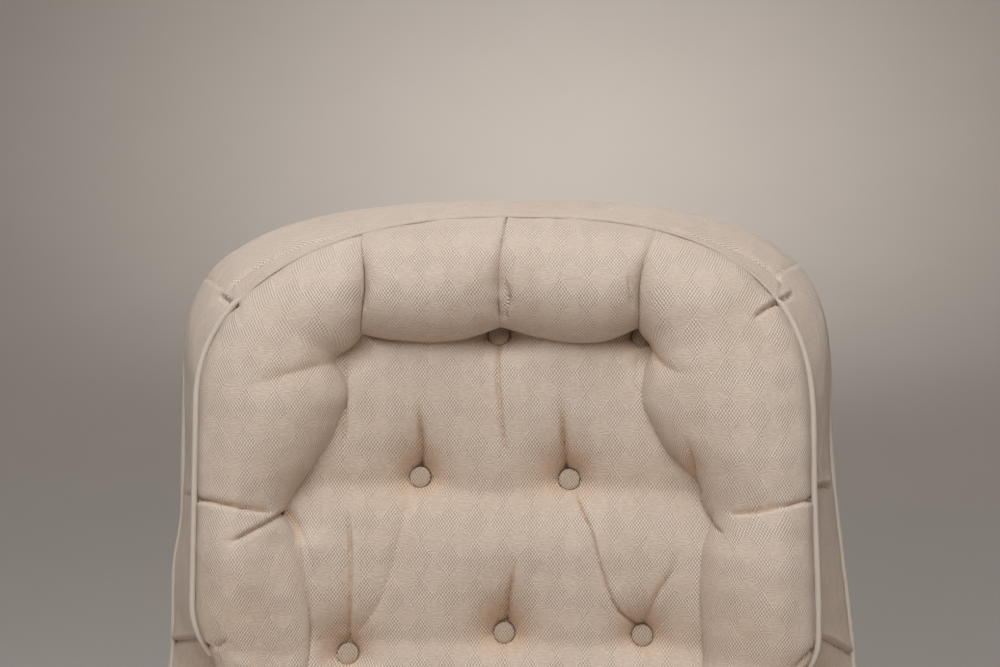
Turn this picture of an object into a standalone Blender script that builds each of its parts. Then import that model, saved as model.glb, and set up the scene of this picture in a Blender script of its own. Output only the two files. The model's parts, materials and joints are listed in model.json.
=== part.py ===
"""A high-backed lounge chair with a button-tufted back, on a swivel and tilt four-leg base.

Metres, +Z up. The chair faces -Y, and its origin is on the floor, on the swivel axis.
The back is modelled upright in its own frame (X across, Y to the rear, Z up along the back) and
then leans on the back_lean empty. Everything that tilts hangs from the tilt_axis empty.
"""

import math

import bmesh
import bpy
from mathutils import Euler, Matrix, Vector

# ---------------------------------------------------------------- driving dimensions
GAP = 0.0003  # clearance that touching pieces keep
BODY_BOTTOM = 0.222  # underside of the upholstered body
SEAT_FRONT_Y = -0.4166
BACK_FOOT_Y = 0.170  # where the back's own frame stands
BACK_FOOT_Z = 0.430
RECLINE = math.radians(14)

BARREL = 0.33  # the back's hollow: a point at x comes BARREL * x * x forward
FACE_Y = -0.025  # depth of the face seam and of the roll's centre line
SHELL_Y = 0.082  # inner side of the outside back
PANEL = 0.006  # thickness of a stretched cover on its backing

ROLL_R = 0.058
ROLL_INSET = 0.061  # from the face seam to the roll's centre line
WING_FOOT = 0.140  # lowest height of the wings, up the back
TOP_SEAM_U = 0.59  # where the top roll meets the corner roll
SEAM_GAP_U = 0.003
WING_TAIL = (  # the roll's lower end: x, z and share of its radius
    (0.279, 0.165, 0.86),
    (0.262, 0.128, 0.66),
    (0.250, 0.090, 0.54),
    (0.247, 0.040, 0.52),
    (0.246, -0.012, 0.50),
)

BUTTON_PLACES = (  # x, and z up the back: staggered rows, pulled in by hand and so not quite regular
    (-0.146, 0.489),
    (-0.009, 0.503),
    (0.146, 0.489),
    (-0.097, 0.340),
    (0.073, 0.340),
    (-0.170, 0.150),
    (0.001, 0.165),
    (0.157, 0.167),
)
PAD_BACK_Y = 0.034
PAD_CROWN = 0.034
PAD_LOW_Z = -0.100
BUTTON_R = 0.0122

ARM_IN_X = 0.281
ARM_OUT_X = 0.407
ARM_FRONT_Y = -0.404
ARM_TOP_FRONT = 0.556
ARM_TOP_REAR = 0.522
ARM_PAD_BOTTOM = 0.442
WELT_R = 0.004

TILT_Z = 0.186
BOLT_Y = -0.080  # the tension bolt's axis
HUB_R = 0.030
SPINDLE_R = 0.0125
LEG_COUNT = 4
GLIDE_REACH = 0.325
GLIDE_PROFILE = [
    (0, 0.0290),
    (0.0040, 0.0290),
    (0.0040, 0.0167),
    (0.0150, 0.0167),
    (0.0165, 0.0120),
    (0.0165, 0.0020),
    (0.0145, 0),
    (0, 0),
]
LEG_BOLT_REACHES = (0.052, 0.076)
BOLT_HOLE_R = 0.0034
PLATE_BOLT_X = 0.090
PLATE_BOLT_YS = (-0.080, 0.080)

# ---------------------------------------------------------------- materials
COLOURS = {  # base colour, roughness, metallic
    "fabric": ((0.72, 0.62, 0.52), 0.9, 0.0),
    "welt": ((0.70, 0.60, 0.50), 0.9, 0.0),
    "wood": ((0.20, 0.11, 0.06), 0.45, 0.0),
    "frame_wood": ((0.62, 0.47, 0.30), 0.7, 0.0),
    "steel": ((0.55, 0.55, 0.56), 0.35, 1.0),
    "black_steel": ((0.03, 0.03, 0.032), 0.45, 0.6),
    "nylon": ((0.80, 0.79, 0.74), 0.5, 0.0),
    "rubber": ((0.03, 0.03, 0.03), 0.8, 0.0),
    "cambric": ((0.035, 0.035, 0.038), 0.95, 0.0),
    "webbing": ((0.45, 0.36, 0.24), 0.9, 0.0),
}


def clear_scene():
    for obj in list(bpy.data.objects):
        bpy.data.objects.remove(obj, do_unlink=True)


def collection(name):
    made = bpy.data.collections.new(name)
    bpy.context.scene.collection.children.link(made)
    return made


def make_materials():
    made = {}
    for name, (colour, roughness, metallic) in COLOURS.items():
        material = bpy.data.materials.new(name)
        material.use_nodes = True
        shader = material.node_tree.nodes["Principled BSDF"]
        shader.inputs["Base Color"].default_value = (*colour, 1)
        shader.inputs["Roughness"].default_value = roughness
        shader.inputs["Metallic"].default_value = metallic
        made[name] = material
    return made


clear_scene()
CHAIR = collection("lounge_chair")
CUTTERS = collection("cutters")
MATERIALS = make_materials()

# ---------------------------------------------------------------- shape helpers


def add(name, data, material=None, parent=None):
    """Links a new object to the chair, in the frame of its parent empty."""
    obj = bpy.data.objects.new(name, data)
    CHAIR.objects.link(obj)
    if material:
        data.materials.append(MATERIALS[material])
    if parent:
        obj.parent = parent
    return obj


def empty(name, location, rotation=(0, 0, 0), parent=None):
    obj = bpy.data.objects.new(name, None)
    CHAIR.objects.link(obj)
    obj.location = location
    obj.rotation_euler = rotation
    if parent:
        obj.parent = parent
        obj.matrix_parent_inverse = parent.matrix_world.inverted()
    bpy.context.view_layer.update()
    return obj


def attach(obj, parent):
    """Parents obj where it stands."""
    obj.parent = parent
    obj.matrix_parent_inverse = parent.matrix_world.inverted()
    return obj


def finish_mesh(bm, name, material, smooth=None):
    bmesh.ops.recalc_face_normals(bm, faces=bm.faces)
    mesh = bpy.data.meshes.new(name)
    bm.to_mesh(mesh)
    bm.free()
    if smooth:
        mesh.shade_smooth()
        mesh.set_sharp_from_angle(angle=math.radians(smooth))
    return add(name, mesh, material)


def bevel(obj, width, segments=2):
    modifier = obj.modifiers.new("rounded edges", "BEVEL")
    modifier.width = width
    modifier.segments = segments
    modifier.limit_method = "ANGLE"
    return obj


def box_into(bm, low, high):
    size = Vector(high) - Vector(low)
    middle = (Vector(high) + Vector(low)) / 2
    matrix = Matrix.Translation(middle) @ Matrix.Diagonal((*size, 1))
    bmesh.ops.create_cube(bm, size=1, matrix=matrix)


def box(name, low, high, material):
    """A box from its lowest to its highest corner."""
    bm = bmesh.new()
    box_into(bm, low, high)
    return finish_mesh(bm, name, material)


def side_box(name, side, xs, ys, zs, material):
    """A box on the left (-1) or the right (1), with xs measured outwards from the middle."""
    low_x, high_x = sorted((side * xs[0], side * xs[1]))
    return box(mirrored(name, side), (low_x, ys[0], zs[0]), (high_x, ys[1], zs[1]), material)


def cylinder_into(bm, radius, low, high, axis="Z", sides=16):
    """A cylinder between two points on one of the axes."""
    low, high = Vector(low), Vector(high)
    turns = {"X": (0, math.pi / 2, 0), "Y": (math.pi / 2, 0, 0), "Z": (0, 0, 0)}
    matrix = Matrix.Translation((low + high) / 2) @ Euler(turns[axis]).to_matrix().to_4x4()
    bmesh.ops.create_cone(
        bm,
        cap_ends=True,
        segments=sides,
        radius1=radius,
        radius2=radius,
        depth=(high - low).length,
        matrix=matrix,
    )


def cutter(name, shapes, boxes=(), matrix=Matrix()):
    """A hidden group of cylinders (radius, low, high, axis) and of boxes (low, high)."""
    bm = bmesh.new()
    for radius, low, high, axis in shapes:
        cylinder_into(bm, radius, low, high, axis)
    for low, high in boxes:
        box_into(bm, low, high)
    bm.transform(matrix)
    mesh = bpy.data.meshes.new(name)
    bm.to_mesh(mesh)
    bm.free()
    obj = bpy.data.objects.new(name, mesh)
    CUTTERS.objects.link(obj)
    obj.hide_render = True
    obj.display_type = "WIRE"
    return obj


def cut(obj, tool):
    modifier = obj.modifiers.new("cut", "BOOLEAN")
    modifier.operation = "DIFFERENCE"
    modifier.object = tool
    return obj


def turned(name, profile, material, centre=(0, 0, 0), steps=24):
    """A closed ring profile of (radius, height), running down its outer side, turned about Z."""
    mesh = bpy.data.meshes.new(name)
    count = len(profile)
    closed = all(radius > 0 for radius, _ in profile)
    edges = [(i, i + 1) for i in range(count - 1)]
    if closed:
        edges.append((count - 1, 0))
    mesh.from_pydata([(r, 0, z) for r, z in profile], edges, [])
    obj = add(name, mesh, material)
    obj.location = centre
    screw = obj.modifiers.new("turned", "SCREW")
    screw.steps = steps
    screw.render_steps = steps
    screw.use_merge_vertices = True
    screw.merge_threshold = 0.00001
    return obj


def ring_profile(inner, outer, low, high):
    return [(inner, high), (outer, high), (outer, low), (inner, low)]


def flat_shape(name, rings, thickness, material):
    """Flat outlines in the XY plane, the first one outside, extruded evenly about it."""
    curve = bpy.data.curves.new(name, "CURVE")
    curve.dimensions = "2D"
    curve.fill_mode = "BOTH"
    curve.extrude = thickness / 2
    for ring in rings:
        spline = curve.splines.new("POLY")
        spline.points.add(len(ring) - 1)
        for point, (x, y) in zip(spline.points, ring):
            point.co = (x, y, 0, 1)
        spline.use_cyclic_u = True
    return add(name, curve, material)


SIDE_VIEW = Matrix(((0, 0, 1, 0), (1, 0, 0, 0), (0, 1, 0, 0), (0, 0, 0, 1)))  # outline in Y and Z
FRONT_VIEW = Matrix(((1, 0, 0, 0), (0, 0, -1, 0), (0, 1, 0, 0), (0, 0, 0, 1)))  # outline in X and Z


def as_mesh(curve_object):
    """The same shape as one welded mesh, which can be cut and bevelled."""
    bpy.context.view_layer.update()
    evaluated = curve_object.evaluated_get(bpy.context.evaluated_depsgraph_get())
    mesh = bpy.data.meshes.new_from_object(evaluated)
    bm = bmesh.new()
    bm.from_mesh(mesh)
    bmesh.ops.remove_doubles(bm, verts=bm.verts, dist=0.00001)
    bmesh.ops.recalc_face_normals(bm, faces=bm.faces)
    bm.to_mesh(mesh)
    bm.free()
    name = curve_object.name
    matrix = curve_object.matrix_world.copy()
    bpy.data.objects.remove(curve_object, do_unlink=True)
    obj = add(name, mesh)
    obj.matrix_world = matrix
    return obj


def side_slab(name, outline, x_low, x_high, material, round_edges=0, segments=2):
    """An outline in Y and Z, from x_low to x_high."""
    obj = flat_shape(name, [outline], x_high - x_low, material)
    obj.matrix_world = Matrix.Translation(((x_low + x_high) / 2, 0, 0)) @ SIDE_VIEW
    obj = as_mesh(obj)
    if round_edges:
        bevel(obj, round_edges, segments)
    return obj


def tube_spline(curve, points, radii=None):
    spline = curve.splines.new("POLY")
    spline.points.add(len(points) - 1)
    for index, (point, place) in enumerate(zip(spline.points, points)):
        point.co = (*place, 1)
        point.radius = radii[index] if radii else 1


def tube(name, points, radius, material, resolution=1, radii=None):
    """A round bar or cord through a list of points."""
    curve = bpy.data.curves.new(name, "CURVE")
    curve.dimensions = "3D"
    curve.bevel_depth = radius
    curve.bevel_resolution = resolution
    curve.use_fill_caps = True
    tube_spline(curve, points, radii)
    return add(name, curve, material)


def slab_from_grid(name, columns, rows, front, rear, material):
    """A solid between two surfaces. front(u, v) and rear(u, v) give points for u and v from 0 to 1."""
    bm = bmesh.new()
    bmesh.ops.create_grid(bm, x_segments=columns, y_segments=rows, size=0.5)
    spots = [(v, v.co.x + 0.5, v.co.y + 0.5) for v in bm.verts]
    far = bmesh.ops.extrude_face_region(bm, geom=bm.faces[:])["geom"]
    for vert in [item for item in far if isinstance(item, bmesh.types.BMVert)]:
        vert.co = rear(vert.co.x + 0.5, vert.co.y + 0.5)
    for vert, u, v in spots:
        vert.co = front(u, v)
    return finish_mesh(bm, name, material, smooth=40)


def mirrored(name, side):
    return f"{name}_{'left' if side < 0 else 'right'}"


SIDES = (-1, 1)

# ---------------------------------------------------------------- the back's outlines


def barrel(x):
    return BARREL * x * x


def smooth_step(value):
    value = min(1.0, max(0.0, value))
    return value * value * (3 - 2 * value)


class Outline:
    """Half of a symmetric edge: a superellipse head over a long side.

    point(u) runs from the top centre, u = 0, to the side's start, u = 1, and to its foot, u = 2.
    """

    def __init__(self, half, rise, power, base, foot, side):
        self.half = half
        self.rise = rise
        self.power = power
        self.base = base
        self.foot = foot
        self.side = side

    def point(self, u, inset=0.0):
        if u > 1:
            z = self.base + (u - 1) * (self.foot - self.base)
            return self.side(z) - inset, z
        angle = (1 - u) * math.pi / 2
        across = (math.cos(angle) / (self.half - inset)) ** self.power
        up = (math.sin(angle) / (self.rise - inset)) ** self.power
        reach = (across + up) ** (-1 / self.power)
        return reach * math.cos(angle), self.base + reach * math.sin(angle)

    def half_width(self, z, inset=0.0):
        """Half the width at height z."""
        if z <= self.base:
            return self.side(z) - inset
        up = min(1.0, (z - self.base) / (self.rise - inset))
        return (self.half - inset) * (1 - up**self.power) ** (1 / self.power)


def face_side(z):
    """The face seam's side: it widens to the wings and tucks in under them."""
    widen = 0.013 * smooth_step((0.447 - z) / 0.13)
    tuck = 0.024 * max(0.0, (0.200 - z) / 0.060) ** 2
    return 0.340 + widen - tuck


def shell_side(z):
    """The outside back's edge: it spreads to the arms and draws in a little below them."""
    spread = 0.024 * min(1.0, (0.425 - z) / 0.315)
    draw_in = 0.010 * max(0.0, (0.110 - z) / 0.325)
    return 0.381 + spread - draw_in


FACE = Outline(half=0.340, rise=0.187, power=2.35, base=0.447, foot=WING_FOOT, side=face_side)
SHELL = Outline(half=0.381, rise=0.232, power=3.1, base=0.425, foot=WING_FOOT, side=shell_side)
SHELL_LOW_Z = (BODY_BOTTOM - BACK_FOOT_Z) / math.cos(RECLINE) + SHELL_Y * math.tan(RECLINE)


def steps(start, stop, count):
    return [start + (stop - start) * i / (count - 1) for i in range(count)]


def back_point(outline, u, side, y, inset=0.0):
    """A point on an outline of the back, at depth y, on the left (-1) or the right (1)."""
    x, z = outline.point(u, inset)
    return Vector((side * x, y - barrel(x), z))


# ---------------------------------------------------------------- base and column


def upright_hole(radius, place, low, high):
    return radius, (place[0], place[1], low), (place[0], place[1], high), "Z"


def make_base():
    hub = turned(
        "base_hub",
        [
            (0.019, 0.135),
            (HUB_R - 0.002, 0.135),
            (HUB_R, 0.133),
            (HUB_R, 0.086),
            (0.034, 0.082),
            (0.088, 0.082),
            (0.088, 0.076),
            (HUB_R, 0.076),
            (HUB_R, 0.048),
            (0.019, 0.048),
        ],
        "black_steel",
    )
    hub_holes = []
    for index in range(LEG_COUNT):
        angle = math.radians(45 + 360 / LEG_COUNT * index)
        out = Vector((math.cos(angle), math.sin(angle), 0))
        bolt_holes = [upright_hole(BOLT_HOLE_R, out * reach, 0.052, 0.095) for reach in LEG_BOLT_REACHES]
        hub_holes += bolt_holes
        glide = out * GLIDE_REACH
        stem_hole = upright_hole(0.0044, glide, 0.010, 0.030)
        make_leg(index + 1, angle, bolt_holes + [stem_hole])
        turned(f"floor_glide_{index + 1}", GLIDE_PROFILE, "nylon", glide, 16)
    cut(hub, cutter("hub_bolt_holes", hub_holes))
    sleeve = [
        (0.0130, 0.1388),
        (0.0270, 0.1388),
        (0.0270, 0.1353),
        (0.0187, 0.1353),
        (0.0187, 0.050),
        (0.0130, 0.050),
    ]
    turned("column_bushing", sleeve, "nylon")


def make_leg(number, angle, holes):
    """A tapered wooden leg, lying along +X before it turns to its own direction."""
    outline = [
        (0.034, 0.040),
        (0.300, 0.0170),
        (0.346, 0.0170),
        (0.356, 0.022),
        (0.358, 0.030),
        (0.352, 0.039),
        (0.340, 0.043),
        (0.100, 0.0757),
        (0.034, 0.0757),
    ]
    leg = flat_shape(f"base_leg_{number}", [outline], 0.046, "wood")
    leg.matrix_world = FRONT_VIEW
    leg = as_mesh(leg)
    leg.data.transform(leg.matrix_world)
    leg.matrix_world = Matrix.Identity(4)
    taper_from, taper_to, tip_share = 0.09, 0.358, 0.70
    for vert in leg.data.vertices:
        share = smooth_step((vert.co.x - taper_from) / (taper_to - taper_from))
        vert.co.y *= 1 - (1 - tip_share) * share
    leg.data.transform(Matrix.Rotation(angle, 4, "Z"))
    bevel(leg, 0.004, 2)
    cut(leg, cutter(f"leg_{number}_holes", holes))


# ---------------------------------------------------------------- swivel and tilt mechanism


PIN_HOLE = (0.0063, (-0.08, 0, TILT_Z), (0.08, 0, TILT_Z), "X")


def make_mechanism(swivel, tilt):
    spindle = turned(
        "spindle",
        [
            (0, 0.1497),
            (0.022, 0.1497),
            (0.022, 0.1416),
            (SPINDLE_R, 0.1416),
            (SPINDLE_R, 0.038),
            (0.011, 0.036),
            (0, 0.036),
        ],
        "steel",
    )
    clip = turned("retaining_clip", ring_profile(0.0128, 0.0215, 0.0440, 0.0470), "steel")
    yoke = make_yoke()
    bm = bmesh.new()
    cylinder_into(bm, 0.006, (-0.068, 0, TILT_Z), (0.068, 0, TILT_Z), "X", 16)
    pin = finish_mesh(bm, "pivot_pin", "steel")
    front_stop = box("front_bumper", (-0.018, -0.060, 0.1533), (0.018, -0.044, 0.2187), "rubber")
    rear_stop = box("rear_bumper", (-0.018, 0.022, 0.1533), (0.018, 0.042, 0.2080), "rubber")
    spring = make_tension_spring()
    for piece in (spindle, clip, yoke, pin, front_stop, rear_stop, spring):
        attach(piece, swivel)
    plate = make_seat_plate()
    bolt_profile = [
        (0, 0.2283),
        (0.007, 0.2283),
        (0.009, 0.2263),
        (0.009, 0.2223),
        (0.005, 0.2223),
        (0.005, 0.0880),
        (0, 0.0880),
    ]
    bolt = turned("tension_bolt", bolt_profile, "steel", (0, BOLT_Y, 0), 16)
    for piece in (plate, bolt):
        attach(piece, tilt)


def make_yoke():
    """A U channel around the pivot pin, with a slot that the tension bolt swings in."""
    wide, wall, low, top = 0.052, 0.003, 0.150, 0.204
    section = [
        (-wide, top),
        (-wide, low),
        (wide, low),
        (wide, top),
        (wide - wall, top),
        (wide - wall, low + wall),
        (wall - wide, low + wall),
        (wall - wide, top),
    ]
    front, rear = -0.112, 0.045
    yoke = flat_shape("tilt_yoke", [section], rear - front, "black_steel")
    yoke.matrix_world = Matrix.Translation((0, (front + rear) / 2, 0)) @ FRONT_VIEW
    yoke = as_mesh(yoke)
    cut(yoke, cutter("yoke_pin_hole", [PIN_HOLE]))
    return cut(yoke, cutter("yoke_slot", [], [((-0.0065, -0.1025, 0.140), (0.0065, -0.0730, 0.160))]))


def make_tension_spring():
    """A coil round the tension bolt, between the yoke and the knob."""
    radius, wire = 0.0165, 0.0019
    low, high, turns, per_turn = 0.1064 + wire, 0.1494 - wire, 4.5, 8
    points = []
    count = int(turns * per_turn) + 1
    for index in range(count):
        share = index / (count - 1)
        angle = share * turns * 2 * math.pi
        height = low + (high - low) * smooth_step(share)
        points.append((radius * math.cos(angle), BOLT_Y + radius * math.sin(angle), height))
    return tube("tension_spring", points, wire, "steel", 1)


def make_seat_plate():
    """A plate under the seat frame, with two ears that hang on the pivot pin."""
    low, top, wide, ear_in, ear_out, ear_low = 0.2190, 0.2220, 0.120, 0.057, 0.060, 0.170
    middle_low = low + 0.0006  # the channel between the ears is a little thinner
    section = [
        (-wide, low),
        (-ear_out, low),
        (-ear_out, ear_low),
        (-ear_in, ear_low),
        (-ear_in, middle_low),
        (ear_in, middle_low),
        (ear_in, ear_low),
        (ear_out, ear_low),
        (ear_out, low),
        (wide, low),
        (wide, top),
        (-wide, top),
    ]
    plate = flat_shape("seat_plate", [section], 0.210, "black_steel")
    plate.matrix_world = FRONT_VIEW
    plate = as_mesh(plate)
    holes = [PIN_HOLE, upright_hole(0.0054, (0, BOLT_Y), 0.21, 0.23)]
    for side in SIDES:
        holes += [upright_hole(BOLT_HOLE_R, (side * PLATE_BOLT_X, y), 0.21, 0.23) for y in PLATE_BOLT_YS]
    return cut(plate, cutter("plate_holes", holes))


def make_knob(parent):
    """A lobed hand knob on the tension bolt."""
    lobes, radius, wave, bore = 8, 0.0250, 0.0020, 0.0054
    count = lobes * 4
    rim, hole = [], []
    for index in range(count):
        angle = 2 * math.pi * index / count
        reach = radius + wave * math.cos(lobes * angle)
        rim.append((reach * math.cos(angle), reach * math.sin(angle)))
    for index in range(16):
        angle = 2 * math.pi * index / 16
        hole.append((bore * math.cos(angle), bore * math.sin(angle)))
    low, high = 0.0890, 0.1060
    knob = flat_shape("tension_knob", [rim, hole], high - low, "rubber")
    knob.matrix_world = Matrix.Translation((0, BOLT_Y, (low + high) / 2))
    attach(bevel(as_mesh(knob), 0.0015, 1), parent)


# ---------------------------------------------------------------- seat


RAIL_TOP = 0.298
SIDE_RAIL_IN = 0.345
RAIL_LOW = BODY_BOTTOM + 0.0005
FRONT_RAIL_Y = (-0.388, -0.366)
REAR_RAIL_Y = (0.104, 0.126)
CUSHION_X = 0.276
CUSHION_LOW = 0.3180


def cross_rail(name, half, ys):
    return box(name, (-half, ys[0], RAIL_LOW), (half, ys[1], RAIL_TOP), "frame_wood")


def make_seat_frame(tilt):
    side_in, side_out = SIDE_RAIL_IN, SIDE_RAIL_IN + 0.022
    front_half, rear_half = side_in - GAP, 0.2945
    rail_zs = (RAIL_LOW, RAIL_TOP)
    pieces = [
        cross_rail("front_rail", front_half, FRONT_RAIL_Y),
        cross_rail("rear_rail", rear_half, REAR_RAIL_Y),
    ]
    for side in SIDES:
        rail_ys = (FRONT_RAIL_Y[0], 0.142)
        pieces.append(side_box("side_rail", side, (side_in, side_out), rail_ys, rail_zs, "frame_wood"))
        between = (FRONT_RAIL_Y[1] + GAP, REAR_RAIL_Y[0] - GAP)
        mount = side_box("mount_rail", side, (0.070, 0.112), between, (RAIL_LOW, 0.2445), "frame_wood")
        holes = [upright_hole(BOLT_HOLE_R, (side * PLATE_BOLT_X, y), 0.21, 0.2395) for y in PLATE_BOLT_YS]
        cut(mount, cutter(mirrored("mount_rail_holes", side), holes))
        pieces.append(mount)
    pieces.append(make_spring_mat())
    pieces.append(box("seat_deck", (-0.272, -0.385, 0.3045), (0.272, 0.092, 0.3172), "fabric"))
    for piece in pieces:
        attach(piece, tilt)


SPRING_X = (-0.195, -0.065, 0.065, 0.195)
SPRING_WIRE = 0.0018
SPRING_Z = RAIL_TOP + 0.0028
SPRING_ENDS_Y = (-0.376, 0.114)


def make_spring_mat():
    """One zigzag wire, four runs from the front rail to the rear one and back."""
    bends, swing = 13, 0.022
    points = []
    for run, middle in enumerate(SPRING_X):
        ends = SPRING_ENDS_Y if run % 2 == 0 else SPRING_ENDS_Y[::-1]
        for index, y in enumerate(steps(*ends, bends)):
            side = -1 if index % 2 else 1
            points += [(middle - side * swing, y, SPRING_Z), (middle + side * swing, y, SPRING_Z)]
    return tube("spring_mat", points, SPRING_WIRE, "steel", 0)


def make_seat_cushion(tilt):
    outline = [
        (SEAT_FRONT_Y, CUSHION_LOW + 0.012),
        (SEAT_FRONT_Y + 0.008, CUSHION_LOW),
        (0.072, CUSHION_LOW),
        (0.086, 0.424),
        (0.075, 0.432),
        (-0.180, 0.4455),
        (SEAT_FRONT_Y + 0.020, 0.4455),
        (SEAT_FRONT_Y, 0.432),
    ]
    cushion = side_slab("seat_cushion", outline, -CUSHION_X, CUSHION_X, "fabric")
    attach(cushion, tilt)


def make_lower_covers(tilt):
    half, rear = ARM_IN_X - GAP, ARM_FRONT_Y + 0.010
    border = box("front_border", (-half, ARM_FRONT_Y, BODY_BOTTOM), (half, rear, 0.314), "fabric")
    low, high = BODY_BOTTOM - 0.0045, BODY_BOTTOM - 0.0025
    window = 0.124
    half, corner = 0.385, 0.270
    rim = [(-half, -half), (half, -half), (half, 0.130), (corner, 0.165), (-corner, 0.165), (-half, 0.130)]
    hole = [(-window, -0.110), (window, -0.110), (window, 0.110), (-window, 0.110)]
    cover = flat_shape("dust_cover", [rim, hole], high - low, "cambric")
    cover.location = (0, 0, (low + high) / 2)
    for piece in (border, as_mesh(cover)):
        attach(piece, tilt)


# ---------------------------------------------------------------- arms


def rear_y(z, depth):
    """World Y of the back's plane at world height z, depth behind its own origin plane."""
    return BACK_FOOT_Y + (z - BACK_FOOT_Z) * math.tan(RECLINE) + depth / math.cos(RECLINE)


def make_arms(tilt):
    shell_edge = SHELL_Y - barrel(0.402) - 0.004
    pad_rear = FACE_Y - barrel(0.330) + 0.030
    for side in SIDES:
        low_x, high_x = sorted((side * ARM_IN_X, side * ARM_OUT_X))
        outline = [
            (ARM_FRONT_Y - 0.006, ARM_PAD_BOTTOM + 0.020),
            (ARM_FRONT_Y, ARM_PAD_BOTTOM),
            (rear_y(ARM_PAD_BOTTOM, shell_edge), ARM_PAD_BOTTOM),
            (rear_y(ARM_TOP_REAR, shell_edge), ARM_TOP_REAR),
            (rear_y(ARM_TOP_REAR, pad_rear) - 0.060, ARM_TOP_REAR),
            (ARM_FRONT_Y + 0.075, ARM_TOP_FRONT),
            (ARM_FRONT_Y + 0.030, ARM_TOP_FRONT - 0.008),
            (ARM_FRONT_Y + 0.004, ARM_TOP_FRONT - 0.032),
        ]
        pad = side_slab(mirrored("arm_pad", side), outline, low_x, high_x, "fabric")
        cut(pad, post_notch(side))
        panel_top = ARM_PAD_BOTTOM - GAP
        outside = [
            (ARM_FRONT_Y + 0.010, BODY_BOTTOM),
            (rear_y(BODY_BOTTOM, shell_edge), BODY_BOTTOM),
            (rear_y(panel_top, shell_edge), panel_top),
            (ARM_FRONT_Y + 0.010, panel_top),
        ]
        low_x, high_x = sorted((side * (ARM_OUT_X - 0.004 - PANEL), side * (ARM_OUT_X - 0.004)))
        outer = side_slab(mirrored("outside_arm", side), outside, low_x, high_x, "fabric")
        wide = (ARM_IN_X, ARM_OUT_X - 0.004)
        deep = (ARM_FRONT_Y, ARM_FRONT_Y + 0.009)
        front = side_box("arm_front", side, wide, deep, (BODY_BOTTOM, panel_top), "fabric")
        frame = make_arm_frame(side)
        for piece in (pad, outer, front, frame):
            attach(piece, tilt)


def post_notch(side):
    """The room that the arm pad leaves for the back's post, leaning with the back."""
    low_x, high_x = sorted((side * (ARM_IN_X - 0.011), side * 0.3355))
    lean = Matrix.Translation((0, BACK_FOOT_Y, BACK_FOOT_Z)) @ Matrix.Rotation(-RECLINE, 4, "X")
    room = ((low_x, 0.0055, -0.050), (high_x, 0.100, 0.200))
    return cutter(mirrored("post_notch", side), [], [room], lean)


def make_arm_frame(side):
    """A wooden post at the front with a rail along the arm, glued into one piece."""
    post_y = (-0.376, -0.336)
    rail_low, rail_top = 0.416, ARM_PAD_BOTTOM - 0.0006
    outline = [
        (post_y[0], RAIL_TOP + GAP),
        (post_y[1], RAIL_TOP + GAP),
        (post_y[1], rail_low),
        (0.150, rail_low),
        (0.155, rail_top),
        (post_y[0], rail_top),
    ]
    low_x, high_x = sorted((side * 0.347, side * 0.379))
    return side_slab(mirrored("arm_frame", side), outline, low_x, high_x, "frame_wood", 0.002, 1)


# ---------------------------------------------------------------- back


def tuft(x, z):
    """Share of the pad's crown at a point: none at a button, nearly all between them."""
    fall, flat = 0.030, 0.027
    near = min(math.hypot(x - bx, z - bz) for bx, bz in BUTTON_PLACES)
    near = max(0.0, near - flat)
    edge = min(1.0, (0.236 - min(0.235, abs(x))) / 0.030)
    return (1 - math.exp(-near / fall)) * (0.4 + 0.6 * edge)


def pad_half(z):
    """The pad fills the space inside the rolls, and narrows between the arms."""
    if z > FACE.base:
        return max(0.02, FACE.half_width(z, 2 * ROLL_INSET + 0.002))
    return 0.225 - 0.020 * smooth_step((0.180 - z) / 0.060)


def make_back_pad(back):
    top = FACE.base + FACE.rise - 2 * ROLL_INSET - 0.012

    def spot(u, v):
        z = PAD_LOW_Z + v * (top - PAD_LOW_Z)
        return (2 * u - 1) * pad_half(z), z

    def front(u, v):
        x, z = spot(u, v)
        return x, 0.004 - PAD_CROWN * tuft(x, z) - barrel(x), z

    def rear(u, v):
        x, z = spot(u, v)
        return x, PAD_BACK_Y - barrel(x), z

    pad = slab_from_grid("back_pad", 20, 24, front, rear, "fabric")
    pad.parent = back
    return pad


def make_buttons(back):
    """Covered buttons, each in its own dimple."""
    profile = [
        (0, 0.0065),
        (0.006, 0.0056),
        (0.0105, 0.0034),
        (BUTTON_R, 0.0010),
        (0.0110, -0.0006),
        (0, -0.0006),
    ]
    for index, (x, z) in enumerate(BUTTON_PLACES):
        button = turned(f"tufting_button_{index + 1}", profile, "welt", (x, -0.0105 - barrel(x), z), 12)
        button.rotation_euler = (math.pi / 2, 0, math.atan(2 * BARREL * x))
        button.parent = back


def make_rolls(back):
    """The padded roll inside the face seam: one piece over the top, and one down each wing."""
    us = [TOP_SEAM_U - SEAM_GAP_U] + steps(TOP_SEAM_U - 4 * SEAM_GAP_U, 0, 8)
    half_top = [back_point(FACE, u, 1, FACE_Y, ROLL_INSET) for u in us]
    points = half_top + [Vector((-p.x, p.y, p.z)) for p in reversed(half_top[:-1])]
    tube("top_roll", points, ROLL_R, "fabric", 4).parent = back
    for side in SIDES:
        make_wing_roll(side, back)


def make_wing_roll(side, back):
    """The roll of the wing, which thins out and runs down between the arms."""
    us = [TOP_SEAM_U + SEAM_GAP_U] + steps(TOP_SEAM_U + 4 * SEAM_GAP_U, 1, 6) + steps(1.18, 1.80, 4)
    points = [back_point(FACE, u, side, FACE_Y, ROLL_INSET) for u in us]
    radii = [1.0] * len(us)
    for x, z, radius in WING_TAIL:
        points.append(Vector((side * x, FACE_Y - barrel(x), z)))
        radii.append(radius)
    tube(mirrored("wing_roll", side), points, ROLL_R, "fabric", 4, radii).parent = back


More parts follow.
